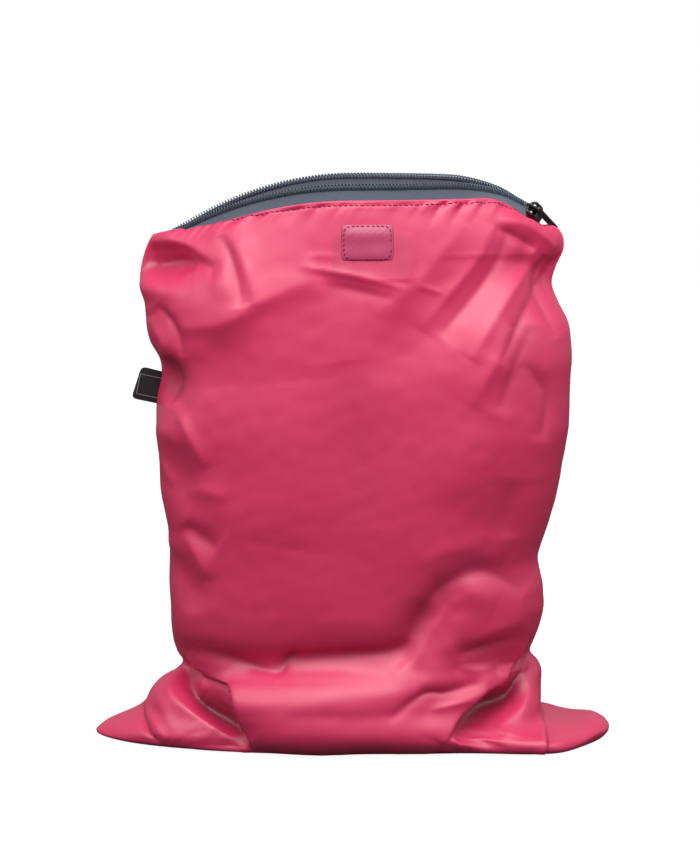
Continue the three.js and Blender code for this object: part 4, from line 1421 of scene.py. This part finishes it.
class WETBAG_OT_stage(bpy.types.Operator):
    """Sets up the floor, the lights and the camera"""

    bl_idname = "wetbag.stage"
    bl_label = "Stage"

    def execute(self, context):
        look = context.scene.wetbag_stage
        scene = context.scene
        scene.view_settings.view_transform = "Standard"
        aim = Vector((0, 0, look.aim_height))
        back = Vector((0, -math.cos(look.elevation), math.sin(look.elevation)))
        camera_data = bpy.data.cameras.new("Camera")
        camera = bpy.data.objects.new("Camera", camera_data)
        scene.collection.objects.link(camera)
        camera.location = aim + back * look.distance
        camera.rotation_euler = (-back).to_track_quat("-Z", "Y").to_euler()
        camera_data.lens = camera_data.sensor_width * look.distance / look.frame_height
        camera_data.shift_x = -AIM_RIGHT / PICTURE_HEIGHT
        camera_data.shift_y = AIM_BELOW / PICTURE_HEIGHT
        camera_data.clip_start = 0.05
        scene.camera = camera
        round_floor()
        for row in LIGHTS:
            light_row = dict(zip(LIGHT_COLUMNS, row))
            data = bpy.data.lights.new(light_row["name"], "AREA")
            data.shape = "RECTANGLE"
            data.size = light_row["width"]
            data.size_y = light_row["height"]
            data.energy = getattr(look, light_row["power"])
            light = bpy.data.objects.new(light_row["name"], data)
            light.location = light_row["place"]
            way = aim - light.location
            light.rotation_euler = way.to_track_quat("-Z", "Y").to_euler()
            scene.collection.objects.link(light)
        world = bpy.data.worlds.new("Surround")
        world.use_nodes = True
        tree = world.node_tree
        shade = tree.nodes["Background"]
        shade.inputs["Color"].default_value = (1, 1, 1, 1)
        seen = node(tree, "ShaderNodeLightPath").outputs["Is Camera Ray"]
        strength = node(tree, "ShaderNodeMapRange", {"Value": seen, "To Min": look.surround})
        tree.links.new(strength.outputs["Result"], shade.inputs["Strength"])
        scene.world = world
        return {"FINISHED"}


def round_floor():
    """A wide pale disc to stand on."""
    bpy.ops.mesh.primitive_circle_add(vertices=96, radius=FLOOR_RADIUS, fill_type="NGON")
    obj = bpy.context.active_object
    obj.name = "floor"
    made, tree, shader = material("Floor")
    seen = node(tree, "ShaderNodeLightPath").outputs["Is Camera Ray"]
    shade = node(
        tree, "ShaderNodeMapRange", {"Value": seen, "To Min": FLOOR_DARK, "To Max": FLOOR_PALE},
    )
    tree.links.new(shade.outputs["Result"], shader.inputs["Base Color"])
    glow = math_node(tree, "MULTIPLY", seen, FLOOR_GLOW)
    tree.links.new(glow, shader.inputs["Emission Strength"])
    shader.inputs["Emission Color"].default_value = (1, 1, 1, 1)
    shader.inputs["Roughness"].default_value = 0.9
    shader.inputs["Specular IOR Level"].default_value = 0.1
    obj.data.materials.append(made)
    return obj


class WETBAG_PT_panel(bpy.types.Panel):
    """Lists the bag's settings and the steps that make it"""

    bl_idname = "WETBAG_PT_panel"
    bl_label = "Wet bag"
    bl_space_type = "VIEW_3D"
    bl_region_type = "UI"
    bl_category = "Wet bag"

    def draw(self, context):
        for group_name, operators in STEPS:
            settings = getattr(context.scene, group_name)
            box = self.layout.box()
            for key in settings.__annotations__:
                box.prop(settings, key)
            for operator in operators:
                box.operator(operator.bl_idname)


SETTINGS = {
    "wetbag_cloth": ClothSettings,
    "wetbag_zip": ZipSettings,
    "wetbag_label": LabelSettings,
    "wetbag_stage": StageSettings,
}
STEPS = (
    ("wetbag_stage", (WETBAG_OT_stage,)),
    ("wetbag_cloth", (WETBAG_OT_cloth, WETBAG_OT_stitching, WETBAG_OT_patch)),
    ("wetbag_zip", (WETBAG_OT_tapes, WETBAG_OT_teeth, WETBAG_OT_slider)),
    ("wetbag_label", (WETBAG_OT_label,)),
)


def classes():
    """Every class that Blender has to know."""
    operators = [operator for _, group_of_steps in STEPS for operator in group_of_steps]
    return [*SETTINGS.values(), *operators, WETBAG_PT_panel]


def register():
    """Registers the classes and hangs the settings on the scene."""
    for made in classes():
        bpy.utils.register_class(made)
    for key, made in SETTINGS.items():
        setattr(bpy.types.Scene, key, PointerProperty(type=made))


def unregister():
    """Takes the settings and the classes away again."""
    for key in SETTINGS:
        delattr(bpy.types.Scene, key)
    for made in reversed(classes()):
        bpy.utils.unregister_class(made)


def main():
    """Makes the whole bag."""
    register()
    bpy.ops.object.select_all(action="DESELECT")
    for _, operators in STEPS:
        for operator in operators:
            section, step = operator.bl_idname.split(".")
            getattr(getattr(bpy.ops, section), step)()


if __name__ == "__main__":
    main()
